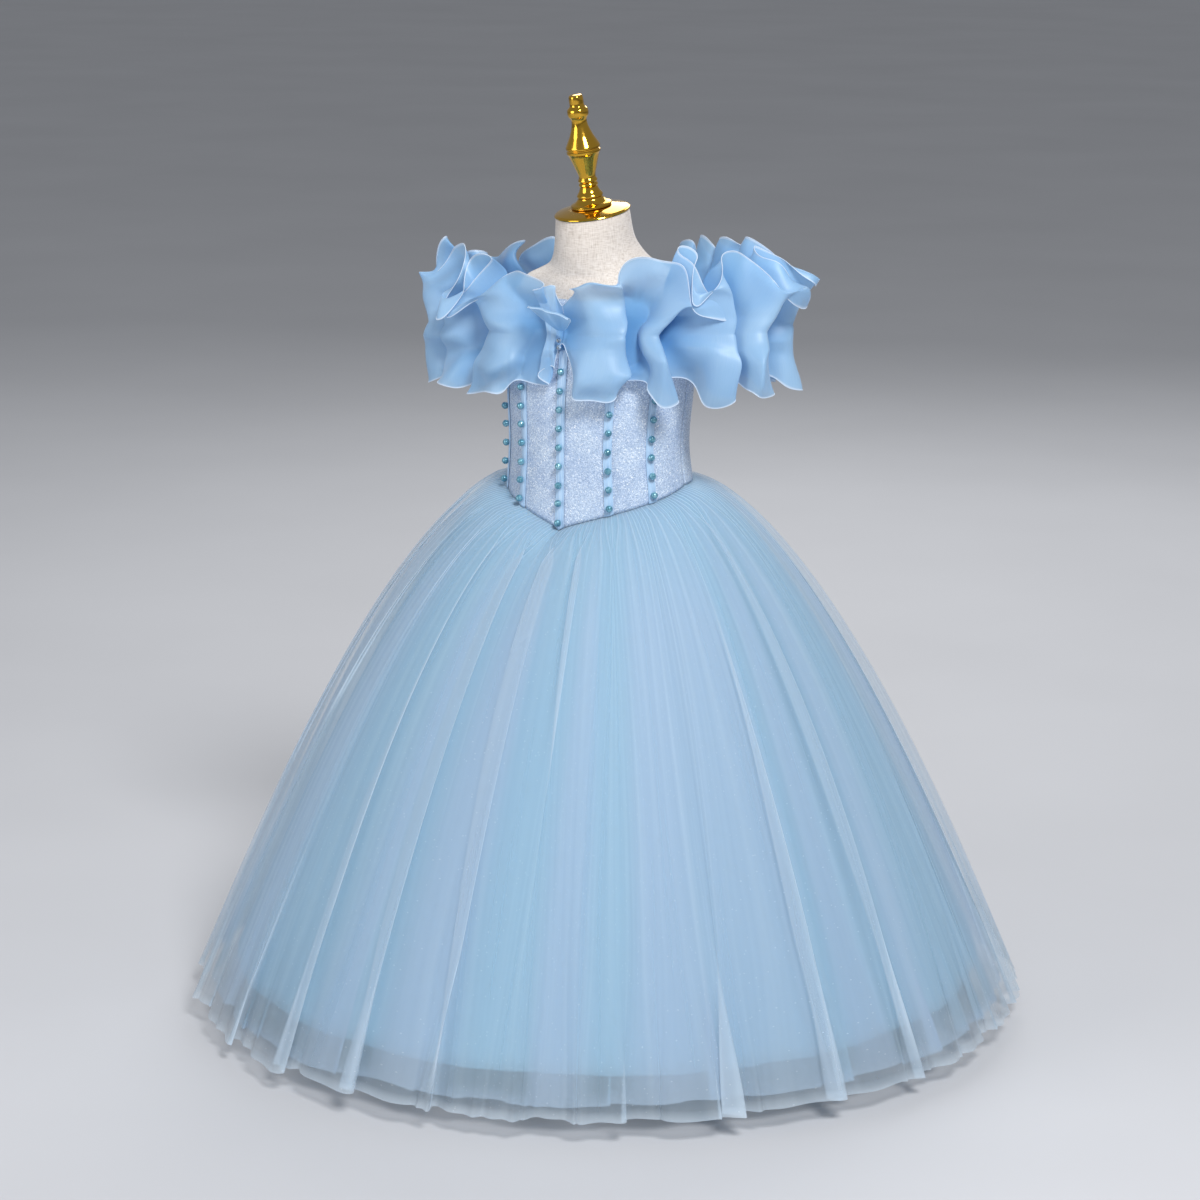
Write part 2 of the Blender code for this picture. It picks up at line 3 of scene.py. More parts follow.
import bmesh
import bpy
import numpy as np
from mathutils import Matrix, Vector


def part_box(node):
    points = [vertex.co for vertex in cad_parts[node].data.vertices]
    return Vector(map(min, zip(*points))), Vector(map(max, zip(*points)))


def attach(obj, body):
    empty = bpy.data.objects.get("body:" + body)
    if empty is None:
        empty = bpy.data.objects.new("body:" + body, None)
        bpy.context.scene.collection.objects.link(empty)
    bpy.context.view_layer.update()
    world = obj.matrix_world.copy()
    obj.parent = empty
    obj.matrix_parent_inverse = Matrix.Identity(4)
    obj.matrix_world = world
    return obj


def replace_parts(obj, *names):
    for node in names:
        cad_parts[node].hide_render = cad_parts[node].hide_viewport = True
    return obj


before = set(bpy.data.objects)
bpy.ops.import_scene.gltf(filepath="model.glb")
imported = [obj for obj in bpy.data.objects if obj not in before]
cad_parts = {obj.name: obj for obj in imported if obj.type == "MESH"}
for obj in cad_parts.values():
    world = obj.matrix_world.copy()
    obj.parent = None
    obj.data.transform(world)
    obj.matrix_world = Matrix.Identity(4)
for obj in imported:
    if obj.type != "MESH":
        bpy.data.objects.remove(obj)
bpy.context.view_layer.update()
mm = 0.001
print("frame loaded,", len(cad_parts), "solids")


def curveThrough(places, values, at):
    # smooth curve through a table's rows: cubic pieces whose slopes come from the rows beside them
    places = np.asarray(places, float)
    values = np.asarray(values, float)
    slopes = np.gradient(values, places)
    at = np.clip(at, places[0], places[-1])
    row = np.clip(np.searchsorted(places, at, side="right") - 1, 0, len(places) - 2)
    width = places[row + 1] - places[row]
    t = (at - places[row]) / width
    return (
        (2 * t**3 - 3 * t**2 + 1) * values[row]
        + (t**3 - 2 * t**2 + t) * width * slopes[row]
        + (3 * t**2 - 2 * t**3) * values[row + 1]
        + (t**3 - t**2) * width * slopes[row + 1]
    )


def smoothStep(t):
    t = np.clip(t, 0, 1)
    return t * t * (3 - 2 * t)


def uneven(number, seed):
    # repeatable scatter between -1 and 1: the fractional part of a large sine
    value = np.sin(np.asarray(number, float) * 12.9898 + seed * 78.233) * 43758.5453
    return 2 * (value - np.floor(value)) - 1


def wander(at, seed, count):
    # smooth unevenness round a closed loop, about -1 to 1: a sum of waves of whole counts
    total = 0 * at
    for k in range(1, count + 1):
        total = total + np.sin(k * at + 6.3 * uneven(k, seed)) * (0.6 + 0.4 * uneven(k, seed + 3))
    return total / math.sqrt(count)


def drift(points, seed, wavelength, amount):
    # smooth push of points in space by five sine waves, each of its own heading, so that cloth
    # near by moves together
    total = 0 * points
    for k in range(5):
        heading = uneven(np.arange(3) + 3 * k, seed)
        push = uneven(np.arange(3) + 3 * k, seed + 1)
        heading = heading / np.linalg.norm(heading) * 2 * math.pi / wavelength
        push = push / np.linalg.norm(push)
        total = total + np.sin(points @ heading + 6.3 * uneven(k, seed + 2))[..., None] * push
    return total * amount / math.sqrt(5)


def grid(columnsAt, rowsAt):
    return np.meshgrid(columnsAt, rowsAt, indexing="ij")


def lineLengths(points, axis=0):
    # length of every line of a grid that runs along one of its axes
    return np.linalg.norm(np.diff(points, axis=axis), axis=-1).sum(axis=axis)


def gridMesh(name, points, around=False, flip=False, uv=None):
    # quads between neighbouring points of a columns x rows grid; around joins the last column to
    # the first; uv gives the flat cloth's metres at each column and row
    columns, rows = points.shape[:2]
    index = np.arange(columns * rows).reshape(columns, rows)
    there = np.roll(index, -1, axis=0) if around else index[1:]
    here = index if around else index[:-1]
    quads = np.stack([here[:, :-1], there[:, :-1], there[:, 1:], here[:, 1:]], axis=-1)
    if uv is None:
        uv = (np.linspace(0, 1, columns + around), np.linspace(0, 1, rows))
    columnAt = np.arange(len(here))[:, None] + np.zeros((1, rows - 1), int)
    rowAt = np.arange(rows - 1)[None, :] + np.zeros((len(here), 1), int)
    us = np.stack([uv[0][columnAt], uv[0][columnAt + 1], uv[0][columnAt + 1], uv[0][columnAt]], axis=-1)
    vs = np.stack([uv[1][rowAt], uv[1][rowAt], uv[1][rowAt + 1], uv[1][rowAt + 1]], axis=-1)
    corners = np.stack([us, vs], axis=-1)
    if flip:
        quads = quads[..., ::-1]
        corners = corners[..., ::-1, :]
    mesh = bpy.data.meshes.new(name)
    mesh.vertices.add(columns * rows)
    mesh.vertices.foreach_set("co", points.astype(np.float32).ravel())
    mesh.loops.add(quads.size)
    mesh.loops.foreach_set("vertex_index", quads.astype(np.int32).ravel())
    mesh.polygons.add(quads.size // 4)
    mesh.polygons.foreach_set("loop_start", np.arange(0, quads.size, 4, dtype=np.int32))
    layer = mesh.uv_layers.new(name="flat cloth")
    layer.data.foreach_set("uv", corners.astype(np.float32).ravel())
    mesh.update(calc_edges=True)
    mesh.shade_smooth()
    return mesh


def repeatedMesh(name, template, places, turns):
    # one mesh of many copies of a template: each copy's points are turned, then moved to its place
    shape = bmesh.new()
    template(shape)
    corners = np.array([v.co for v in shape.verts])
    faces = [[v.index for v in f.verts] for f in shape.faces]
    shape.free()
    points = np.einsum("nij,kj->nki", turns, corners) + places[:, None, :]
    everyFace = [tuple(k + n * len(corners) for k in f) for n in range(len(places)) for f in faces]
    mesh = bpy.data.meshes.new(name)
    mesh.from_pydata(points.reshape(-1, 3).tolist(), [], everyFace)
    mesh.shade_smooth()
    return mesh


def closeEnds(mesh):
    # flat faces over the open ends of a turned or lofted shape, all facing out
    shape = bmesh.new()
    shape.from_mesh(mesh)
    ends = [e for e in shape.edges if e.is_boundary]
    bmesh.ops.holes_fill(shape, edges=ends, sides=0)
    bmesh.ops.recalc_face_normals(shape, faces=shape.faces)
    shape.to_mesh(mesh)
    shape.free()
    mesh.shade_smooth()
    mesh.set_sharp_from_angle(angle=math.radians(38))
    return mesh


def tubeAlong(name, path, normals, radius, sides=6):
    # round thread: at each point of the path a ring in the plane of the normal and of its cross
    # product with the path's direction
    along = np.gradient(path, axis=0)
    along /= np.linalg.norm(along, axis=1, keepdims=True)
    across = np.cross(along, normals)
    across /= np.linalg.norm(across, axis=1, keepdims=True)
    up = np.cross(across, along)
    turn = np.linspace(0, 2 * math.pi, sides, endpoint=False)
    ring = np.cos(turn)[:, None, None] * across + np.sin(turn)[:, None, None] * up
    return closeEnds(gridMesh(name, path[None] + radius * ring, around=True))


def addAttribute(mesh, name, values):
    made = mesh.attributes.new(name, "FLOAT", "POINT")
    made.data.foreach_set("value", np.asarray(values, np.float32).ravel())


def addObject(name, data):
    made = bpy.data.objects.new(name, data)
    bpy.context.collection.objects.link(made)
    return made


def addPiece(name, mesh, material):
    piece = addObject(name, mesh)
    mesh.materials.append(material)
    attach(piece, "root")
    return piece


def giveThickness(piece, thickness, offset=-1.0):
    wall = piece.modifiers.new("cloth thickness", "SOLIDIFY")
    wall.thickness = thickness
    wall.offset = offset
    wall.use_even_offset = False


def linear(hexText):
    # sRGB hex to linear light, with full alpha
    parts = [int(hexText[k : k + 2], 16) / 255 for k in (1, 3, 5)]
    parts = [p / 12.92 if p <= 0.04045 else ((p + 0.055) / 1.055) ** 2.4 for p in parts]
    return (*parts, 1.0)


def newMaterial(name):
    made = bpy.data.materials.new(name)
    made.use_nodes = True
    made.node_tree.nodes.clear()
    return made, made.node_tree


def addNode(tree, kind, inputs=None, **settings):
    # adds a node, sets its settings, then its inputs: a socket is linked, a value is set
    node = tree.nodes.new(kind)
    for key, value in settings.items():
        setattr(node, key, value)
    for key, value in (inputs or {}).items():
        socket = node.inputs[key]
        if isinstance(value, bpy.types.NodeSocket):
            tree.links.new(value, socket)
        else:
            socket.default_value = value
    return node


def ramp(tree, factor, stops):
    # colour ramp through (place, hex) stops
    node = addNode(tree, "ShaderNodeValToRGB", {"Fac": factor})
    while len(node.color_ramp.elements) < len(stops):
        node.color_ramp.elements.new(0.5)
    for element, (place, colour) in zip(node.color_ramp.elements, stops):
        element.position = place
        element.color = linear(colour)
    return node.outputs["Color"]


def objectPlace(tree):
    return addNode(tree, "ShaderNodeTexCoord").outputs["Object"]


def flatCloth(tree):
    # metres along and across the cloth as it was before it was gathered
    return addNode(tree, "ShaderNodeUVMap", uv_map="flat cloth").outputs[0]


def attribute(tree, name):
    return addNode(tree, "ShaderNodeAttribute", attribute_name=name).outputs["Fac"]


def stretched(tree, vector, scale):
    return addNode(tree, "ShaderNodeMapping", {"Vector": vector, "Scale": scale}).outputs[0]


def noise(tree, vector, scale, detail):
    # scale counts the clouds in a metre, or in a unit of a stretched vector
    node = addNode(tree, "ShaderNodeTexNoise", {"Vector": vector, "Scale": scale, "Detail": detail})
    return node.outputs["Fac"]


def cells(tree, vector, size):
    return addNode(tree, "ShaderNodeTexVoronoi", {"Vector": vector, "Scale": 1 / size})


def calculate(tree, operation, *values):
    return addNode(tree, "ShaderNodeMath", dict(enumerate(values)), operation=operation).outputs[0]


def mapRange(tree, value, low, high, lowest=0.0, highest=1.0):
    # low and high are what the value gives at its lowest and highest
    inputs = {"Value": value, "From Min": lowest, "From Max": highest, "To Min": low, "To Max": high}
    return addNode(tree, "ShaderNodeMapRange", inputs).outputs[0]


def mixColours(tree, share, first, second, blend="MIX"):
    inputs = {0: share, 6: first, 7: second}
    return addNode(tree, "ShaderNodeMix", inputs, data_type="RGBA", blend_type=blend).outputs[2]


def bump(tree, height, strength, distance):
    inputs = {"Height": height, "Strength": strength, "Distance": distance}
    return addNode(tree, "ShaderNodeBump", inputs).outputs[0]


def principled(tree, inputs):
    return addNode(tree, "ShaderNodeBsdfPrincipled", inputs).outputs[0]


def sheer(tree, inputs, through, cover):
    # cloth that lets light through by one share, and is seen through where its cover is under 1
    front = principled(tree, inputs)
    colour = {"Color": inputs["Base Color"]}
    back = addNode(tree, "ShaderNodeBsdfTranslucent", colour).outputs[0]
    cloth = addNode(tree, "ShaderNodeMixShader", {0: through, 1: front, 2: back}).outputs[0]
    clear = addNode(tree, "ShaderNodeBsdfTransparent").outputs[0]
    return addNode(tree, "ShaderNodeMixShader", {0: cover, 1: clear, 2: cloth}).outputs[0]


def finished(made, shader):
    addNode(made.node_tree, "ShaderNodeOutputMaterial", {"Surface": shader})
    return made


def linenJersey():
    # off-white linen-look jersey over foam: matt, with a fine woven grain and faint slubs
    made, tree = newMaterial("linen jersey")
    place = objectPlace(tree)
    slubs = noise(tree, stretched(tree, place, (1, 1, 0.12)), 900.0, 3.0)
    weft = noise(tree, stretched(tree, place, (0.15, 0.15, 1)), 1100.0, 2.0)
    weave = calculate(tree, "MULTIPLY", calculate(tree, "ADD", slubs, weft), 0.5)
    inputs = {
        "Base Color": ramp(tree, weave, [(0.3, "#B7ABA0"), (0.5, "#D3C9BF"), (0.72, "#E2DAD2")]),
        "Roughness": 0.9,
        "Sheen Weight": 0.25,
        "Sheen Roughness": 0.5,
        "Normal": bump(tree, weave, 0.5, 0.4 * mm),
    }
    return finished(made, principled(tree, inputs))


def goldPlate():
    # electroplated gold over turned metal: a mirror with a faint drawn haze
    made, tree = newMaterial("gold plate")
    haze = noise(tree, objectPlace(tree), 60.0, 4.0)
    inputs = {
        "Base Color": linear("#D9A93C"),
        "Metallic": 1.0,
        "Roughness": mapRange(tree, haze, 0.07, 0.17, 0.3, 0.7),
    }
    return finished(made, principled(tree, inputs))


def paintedSteel():
    # powder-coated steel: satin white with a very fine orange peel
    made, tree = newMaterial("powder-coated steel")
    peel = noise(tree, objectPlace(tree), 700.0, 2.0)
    inputs = {
        "Base Color": ramp(tree, peel, [(0.3, "#D6D6D4"), (0.7, "#E2E2E0")]),
        "Roughness": 0.45,
        "Normal": bump(tree, peel, 0.25, 0.1 * mm),
    }
    return finished(made, principled(tree, inputs))


def glitterCloth():
    # glitter bonded on a blue backing: grains 0.5 mm across, drawn 0.8 mm so that they show, each
    # of its own brightness and shine, with a few larger flakes painted white as painted glints, where they
    # would catch the light
    made, tree = newMaterial("silver-blue glitter cloth")
    place = objectPlace(tree)
    grains = cells(tree, place, 0.8 * mm)
    grain = addNode(tree, "ShaderNodeSeparateColor", {"Color": grains.outputs["Color"]})
    tones = [(0.0, "#97ABC6"), (0.35, "#AEC1D9"), (0.75, "#C1D1E5"), (0.93, "#DCE7F3"), (1.0, "#F6FAFE")]
    tone = ramp(tree, grain.outputs["Red"], tones)
    flakes = cells(tree, place, 2.6 * mm)
    flake = addNode(tree, "ShaderNodeSeparateColor", {"Color": flakes.outputs["Color"]})
    chosen = calculate(tree, "GREATER_THAN", flake.outputs["Green"], 0.92)
    near = calculate(tree, "LESS_THAN", flakes.outputs["Distance"], 0.2)
    paintedSparkle = calculate(tree, "MULTIPLY", chosen, near)
    cloud = ramp(tree, noise(tree, place, 45.0, 3.0), [(0.35, "#ECF0F7"), (0.65, "#FFFFFF")])
    toned = mixColours(tree, 1.0, tone, cloud, "MULTIPLY")
    inputs = {
        # painted glints: the chosen flakes are painted white
        "Base Color": mixColours(tree, paintedSparkle, toned, linear("#FFFFFF")),
        "Metallic": 0.12,
        "Roughness": mapRange(tree, grain.outputs["Green"], 0.22, 0.6),
        "Normal": bump(tree, grain.outputs["Blue"], 0.6, 0.25 * mm),
    }
    return finished(made, principled(tree, inputs))


def satin(name, dark, mid, light, threadWidth, roughness):
    # polyester satin: long floats give a soft shine, with faint lines along the warp
    made, tree = newMaterial(name)
    lines = stretched(tree, flatCloth(tree), (1 / threadWidth, 1 / (threadWidth * 40), 1))
    threads = noise(tree, lines, 1.0, 3.0)
    inputs = {
        "Base Color": ramp(tree, threads, [(0.25, dark), (0.5, mid), (0.75, light)]),
        "Roughness": roughness,
        "Sheen Weight": 0.2,
        "Normal": bump(tree, threads, 0.3, 0.1 * mm),
    }
    return finished(made, principled(tree, inputs))


def pearlCoat():
    # bead with a teal pearl coat: cloudy colour under a hard clear shine
    made, tree = newMaterial("teal pearl coat")
    cloudy = noise(tree, objectPlace(tree), 220.0, 2.0)
    inputs = {
        "Base Color": ramp(tree, cloudy, [(0.3, "#3A7288"), (0.5, "#5B93A8"), (0.72, "#8DBCC8")]),
        "Metallic": 0.35,
        "Roughness": 0.16,
        "Coat Weight": 0.6,
        "Coat Roughness": 0.05,
    }
    return finished(made, principled(tree, inputs))


def cutGlass():
    # clear foiled stone: hard small reflections, with painted reflections, white to dark, broken up as by
    # facets
    made, tree = newMaterial("foiled cut glass")
    facets = cells(tree, objectPlace(tree), 1.4 * mm).outputs["Distance"]
    # painted reflections: each facet cell is painted white in its middle and dark towards its edge
    tone = ramp(tree, facets, [(0.1, "#FFFFFF"), (0.5, "#9FB6CC"), (0.8, "#5E7891")])
    return finished(made, principled(tree, {"Base Color": tone, "Metallic": 0.75, "Roughness": 0.06}))


def organza():
    # crisp nylon organza: plain weave of shiny yarn, light comes through it; the rolled edges are
    # drawn denser and painted paler as a painted highlight, and the hollows are painted darker as painted
    # shade
    made, tree = newMaterial("nylon organza")
    flat = flatCloth(tree)
    warp = noise(tree, stretched(tree, flat, (1200, 60, 1)), 1.0, 2.0)
    cloudy = noise(tree, flat, 22.0, 2.0)
    half = addNode(tree, "ShaderNodeMix", {0: 0.75, 2: warp, 3: cloudy}, data_type="FLOAT").outputs[0]
    colour = ramp(tree, half, [(0.2, "#98C2E4"), (0.5, "#A5CBEA"), (0.8, "#B5D6EF")])
    # painted shade: the hollows, where the cloth stacks up, are painted a deeper blue
    shadedInHollows = mixColours(tree, attribute(tree, "stack"), colour, linear("#6AA6DA"))
    # painted highlight: the rolled edges are painted pale; their greater cover further down is the doubled
    # cloth
    edge = attribute(tree, "edge")
    inputs = {
        "Base Color": mixColours(tree, edge, shadedInHollows, linear("#DCEAF8")),
        "Roughness": 0.42,
        "Sheen Weight": 0.35,
        "Sheen Roughness": 0.35,
        "Normal": bump(tree, warp, 0.2, 0.1 * mm),
    }
    return finished(made, sheer(tree, inputs, 0.3, mapRange(tree, edge, 0.86, 0.97)))


def tulle(name, dark, mid, light, cover, highlightColour):
    # nylon net, holes about 1 mm: too fine to show at this distance, so it is drawn as an even
    # cover with streaks along the cloth, denser and with a painted highlight on the folds, and pinpricks of
    # glitter painted as white glints
    made, tree = newMaterial(name)
    flat = flatCloth(tree)
    streak = noise(tree, stretched(tree, flat, (75, 1.5, 1)), 1.0, 2.0)
    crease = attribute(tree, "crease")
    colour = ramp(tree, streak, [(0.2, dark), (0.5, mid), (0.85, light)])
    # painted highlight: the net is painted paler on its folds, gathers and hem
    highlighted = mixColours(tree, crease, colour, linear(highlightColour))
    # painted glints: tiny near-white spots on the net for its glitter catching the light
    glint = calculate(tree, "LESS_THAN", cells(tree, flat, 5.5 * mm).outputs["Distance"], 0.1)
    inputs = {
        "Base Color": mixColours(tree, glint, highlighted, linear("#EAF6FF")),
        "Roughness": 0.7,
        "Sheen Weight": 0.3,
        "Sheen Roughness": 0.5,
    }
    netting = mapRange(tree, streak, cover - 0.04, cover + 0.04, 0.25, 0.75)
    return finished(made, sheer(tree, inputs, 0.4, calculate(tree, "MULTIPLY_ADD", crease, 0.4, netting)))


linenMaterial = linenJersey()
goldMaterial = goldPlate()
steelMaterial = paintedSteel()
glitterMaterial = glitterCloth()
ribbonMaterial = satin("pale blue satin ribbon", "#86AAD0", "#A3C2E0", "#C3D9EE", 0.5 * mm, 0.34)
liningMaterial = satin("pale blue satin lining", "#8ABBD3", "#8EBFD6", "#93C3D9", 1.2 * mm, 0.42)
pearlMaterial = pearlCoat()
stoneMaterial = cutGlass()
organzaMaterial = organza()
# the last colour of each tulle is its painted fold highlight
outerTulleMaterial = tulle("outer tulle", "#C0D2E2", "#C6D7E5", "#D2E1EC", 0.35, "#D6E4F0")
innerTulleMaterial = tulle("inner tulle", "#A6C9DD", "#ACCDE0", "#B4D2E4", 0.38, "#BCD0E7")
print("materials made")


body = {
    # height: half width, reach to the front, reach to the back, on the outside of the bodice
    "heights": (0.400, 0.460, 0.500, 0.543, 0.580, 0.640, 0.680, 0.705, 0.732, 0.750),
    "halfWidths": (0.108, 0.106, 0.101, 0.097, 0.0935, 0.097, 0.0985, 0.098, 0.097, 0.094),
    "fronts": (0.086, 0.084, 0.080, 0.078, 0.077, 0.075, 0.070, 0.0645, 0.057, 0.050),
    "backs": (0.096, 0.094, 0.087, 0.080, 0.075, 0.078, 0.083, 0.086, 0.087, 0.084),
    "waistSide": 0.548,
    "waistPoint": 0.507,
    "waistBend": 0.8,
    "neckline": 0.732,
}


def bodySection(height):
    halfWidth = curveThrough(body["heights"], body["halfWidths"], height)
    front = curveThrough(body["heights"], body["fronts"], height)
    back = curveThrough(body["heights"], body["backs"], height)
    return halfWidth, (front + back) / 2, (back - front) / 2


def bodyPoint(angle, height, off=0.0):
    # ellipse of the body's section at a height: half width along X, half depth along Y round the
    # section's middle, both grown by off; the angle runs in degrees from centre front to the left
    halfWidth, halfDepth, middle = bodySection(height)
    turn = np.radians(angle)
    x = (halfWidth + off) * np.sin(turn)
    y = middle - (halfDepth + off) * np.cos(turn)
    return np.stack([x, y, height + 0 * turn], axis=-1)


def waistSeam(angle):
    # level behind, falling to a point at centre front
    fromFront = np.abs((np.asarray(angle, float) + 180) % 360 - 180)
    rise = np.clip(fromFront / 90, 0, 1) ** body["waistBend"]
    return body["waistPoint"] + (body["waistSide"] - body["waistPoint"]) * rise


form = {
    "ease": 2.9 * mm,  # inside the bodice's outside
    # the shoulders and neck above the bodice; lean 1 is the full tilt
    "heights": (0.738, 0.746, 0.754, 0.762, 0.772, 0.786, 0.812),
    "halfWidths": (0.092, 0.084, 0.068, 0.053, 0.0445, 0.0395, 0.0365),
    "fronts": (0.052, 0.048, 0.044, 0.042, 0.040, 0.038, 0.0365),
    "backs": (0.083, 0.076, 0.066, 0.056, 0.048, 0.041, 0.0365),
    "leans": (0.0, 0.0, 0.15, 0.35, 0.6, 0.85, 1.0),
    "tilt": math.radians(10.6),
    "leansTo": math.radians(-20),
    "shift": 0.0096,
    "columns": 128,
    "rowsBetween": 6,
}
leanTowards = np.array([math.sin(form["leansTo"]), -math.cos(form["leansTo"]), 0.0])
leanAxis = np.cross([0, 0, 1.0], leanTowards)


def leaned(vectors, angle):
    # turns vectors about the lean's axis: v cos + (axis x v) sin + axis (axis . v)(1 - cos)
    angle = np.asarray(angle)[..., None]
    dot = (vectors @ leanAxis)[..., None]
    crossed = np.cross(np.broadcast_to(leanAxis, vectors.shape), vectors)
    return vectors * np.cos(angle) + crossed * np.sin(angle) + leanAxis * dot * (1 - np.cos(angle))


def formSurface(turn, ring):
    # ellipse of each ring of the form, leaned and shifted towards the neck, where the ring number
    # runs smoothly through the tables
    low = [k for k, h in enumerate(body["heights"]) if h <= body["neckline"]]
    heights = [body["heights"][k] for k in low] + list(form["heights"])
    halfWidths = [body["halfWidths"][k] - form["ease"] for k in low] + list(form["halfWidths"])
    fronts = [body["fronts"][k] - form["ease"] for k in low] + list(form["fronts"])
    backs = [body["backs"][k] - form["ease"] for k in low] + list(form["backs"])
    leans = [0.0 for k in low] + list(form["leans"])
    rings = np.arange(len(heights))
    height, halfWidth, front, back, lean = (
        curveThrough(rings, column, ring) for column in (heights, halfWidths, fronts, backs, leans)
    )
    spokes = np.stack(
        [halfWidth * np.sin(turn), -(front + back) / 2 * np.cos(turn), 0 * turn], axis=-1
    )
    centre = leanTowards * (form["shift"] * lean)[..., None]
    centre = centre + np.stack([0 * turn, (back - front) / 2 + 0 * turn, height + 0 * turn], axis=-1)
    return centre + leaned(spokes, form["tilt"] * lean)


def makeForm():
    last = sum(h <= body["neckline"] for h in body["heights"]) + len(form["heights"]) - 1
    turns = np.linspace(0, 2 * math.pi, form["columns"], endpoint=False)
    rings = np.linspace(0, last, last * form["rowsBetween"] + 1)
    turn, ring = grid(turns, rings)
    mesh = closeEnds(gridMesh("formTorso", formSurface(turn, ring), around=True))
    piece = addPiece("formTorso", mesh, linenMaterial)
    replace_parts(piece, "form_torso")


makeForm()
print("form made")


turnedParts = {
    # radius and height of each step of the two turned pieces, in millimetres
    "cap": (
        (36.6, 0.0), (37.5, 0.2), (37.8, 0.9), (37.4, 1.7), (36.4, 2.3), (36.0, 2.7), (33.4, 3.4),
        (30.0, 4.2), (26.0, 5.1), (22.4, 5.8),
    ),
    "finial": (
        (19.4, 0.0), (20.0, 0.5), (20.1, 1.8), (19.9, 3.0), (19.2, 3.5), (16.2, 4.6), (14.2, 6.4),
        (12.4, 8.6), (12.2, 9.6), (12.8, 10.6), (12.9, 11.8), (12.2, 13.0), (10.4, 15.4),
        (9.1, 18.4), (8.6, 20.0), (9.1, 20.6), (9.6, 21.8), (9.1, 23.2), (8.6, 24.0), (9.1, 24.8),
        (9.6, 26.2), (9.1, 27.8), (8.4, 29.0), (8.3, 30.8), (8.9, 33.4), (10.9, 39.6), (13.3, 46.8),
        (15.5, 52.8), (16.7, 54.4), (16.7, 56.2), (15.7, 57.4), (15.8, 58.0), (16.9, 59.0),
        (16.9, 60.6), (15.9, 62.6), (13.9, 66.4), (11.7, 70.6), (9.5, 76.2), (8.1, 80.6), (7.6, 84.0),
        (7.6, 86.4), (8.5, 88.4), (10.0, 90.6), (10.5, 92.8), (10.5, 95.4), (9.9, 97.4), (8.0, 99.2),
        (7.1, 100.6), (7.1, 107.8), (6.8, 109.6), (6.0, 110.8), (4.6, 111.2),
    ),
    "columns": 96,
    "gap": 0.3 * mm,
}


def turnedMesh(name, profile, foot):
    # profile turned round the neck's leaning axis, from its foot; two rows between its steps
    steps = np.array(profile) * mm
    place = np.arange(len(steps))
    at = np.linspace(0, len(steps) - 1, (len(steps) - 1) * 3 + 1)
    radius = np.interp(at, place, steps[:, 0])
    height = np.interp(at, place, steps[:, 1])
    turns = np.linspace(0, 2 * math.pi, turnedParts["columns"], endpoint=False)
    turn, row = grid(turns, at)
    spokes = np.stack(
        [radius[None] * np.sin(turn), -radius[None] * np.cos(turn), height[None] + 0 * row], axis=-1
    )
    return closeEnds(gridMesh(name, foot + leaned(spokes, np.full(turn.shape, form["tilt"])), around=True))


def makeCapAndFinial():
    up = leaned(np.array([0.0, 0.0, 1.0]), form["tilt"])
    top = leanTowards * form["shift"] + np.array([0, 0, form["heights"][-1]])
    foot = top + up * turnedParts["gap"]
    cap = addPiece("neckCap", turnedMesh("neckCap", turnedParts["cap"], foot), goldMaterial)
    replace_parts(cap, "neck_cap")
    foot = foot + up * (turnedParts["gap"] + turnedParts["cap"][-1][1] * mm)
    mesh = turnedMesh("finial", turnedParts["finial"], foot)
    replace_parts(addPiece("finialTurned", mesh, goldMaterial), "finial")


def finishStand():
    for name in ("stand_pole", "stand_base"):
        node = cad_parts[name]
        node.data.materials.clear()
        node.data.materials.append(steelMaterial)


makeCapAndFinial()
finishStand()
print("cap, finial and stand made")


bodice = {
    "wall": 2.0 * mm,
    # name, and the angles at which each panel starts and ends
    "panels": (
        ("front_centre", 0.0, 30.0),
        ("front_side", 30.0, 58.0),
        ("side", 58.0, 90.0),
        ("back", 90.0, 180.0),
    ),
    "seamGap": 0.18,  # degrees
    "seamTuck": 0.7 * mm,  # the panels' edges turn in at the seams
    "tuckWidth": 2.2,  # degrees
    "columnDegrees": 1.0,
    "rows": 56,
    "cutShare": 0.9,  # share of its rectangle that a shaped panel takes
}


def panelSurface(angle, share, start, end):
    # body's outside between the waist seam, share 0, and the neckline, share 1, tucked in by a
    # bell curve beside each seam
    low = waistSeam(angle)
    beside = np.minimum(np.abs(angle) - start, end - np.abs(angle))
    tuck = bodice["seamTuck"] * np.exp(-((beside / bodice["tuckWidth"]) ** 2) * 3)
    return bodyPoint(angle, low + (body["neckline"] - low) * share, -tuck)


def makeBodice():
    shares = np.linspace(0, 1, bodice["rows"])
    for side, sign in (("left", 1), ("right", -1)):
        for name, start, end in bodice["panels"]:
            columns = int((end - start) / bodice["columnDegrees"]) + 1
            angles = np.linspace(start + bodice["seamGap"] / 2, end - bodice["seamGap"] / 2, columns)
            angles = sign * angles if sign > 0 else -angles[::-1]
            angle, share = grid(angles, shares)
            points = panelSurface(angle, share, start, end)
            width = float(lineLengths(points, 0).max())
            length = float(lineLengths(points, 1).max())
            flat = (np.linspace(0, width, columns), np.linspace(0, length, bodice["rows"]))
            mesh = gridMesh(f"bodicePanel_{name}_{side}", points, uv=flat)
            piece = addPiece(mesh.name, mesh, glitterMaterial)
            giveThickness(piece, bodice["wall"])
            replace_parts(piece, f"bodice_{name}_{side}")


makeBodice()
print("bodice made")


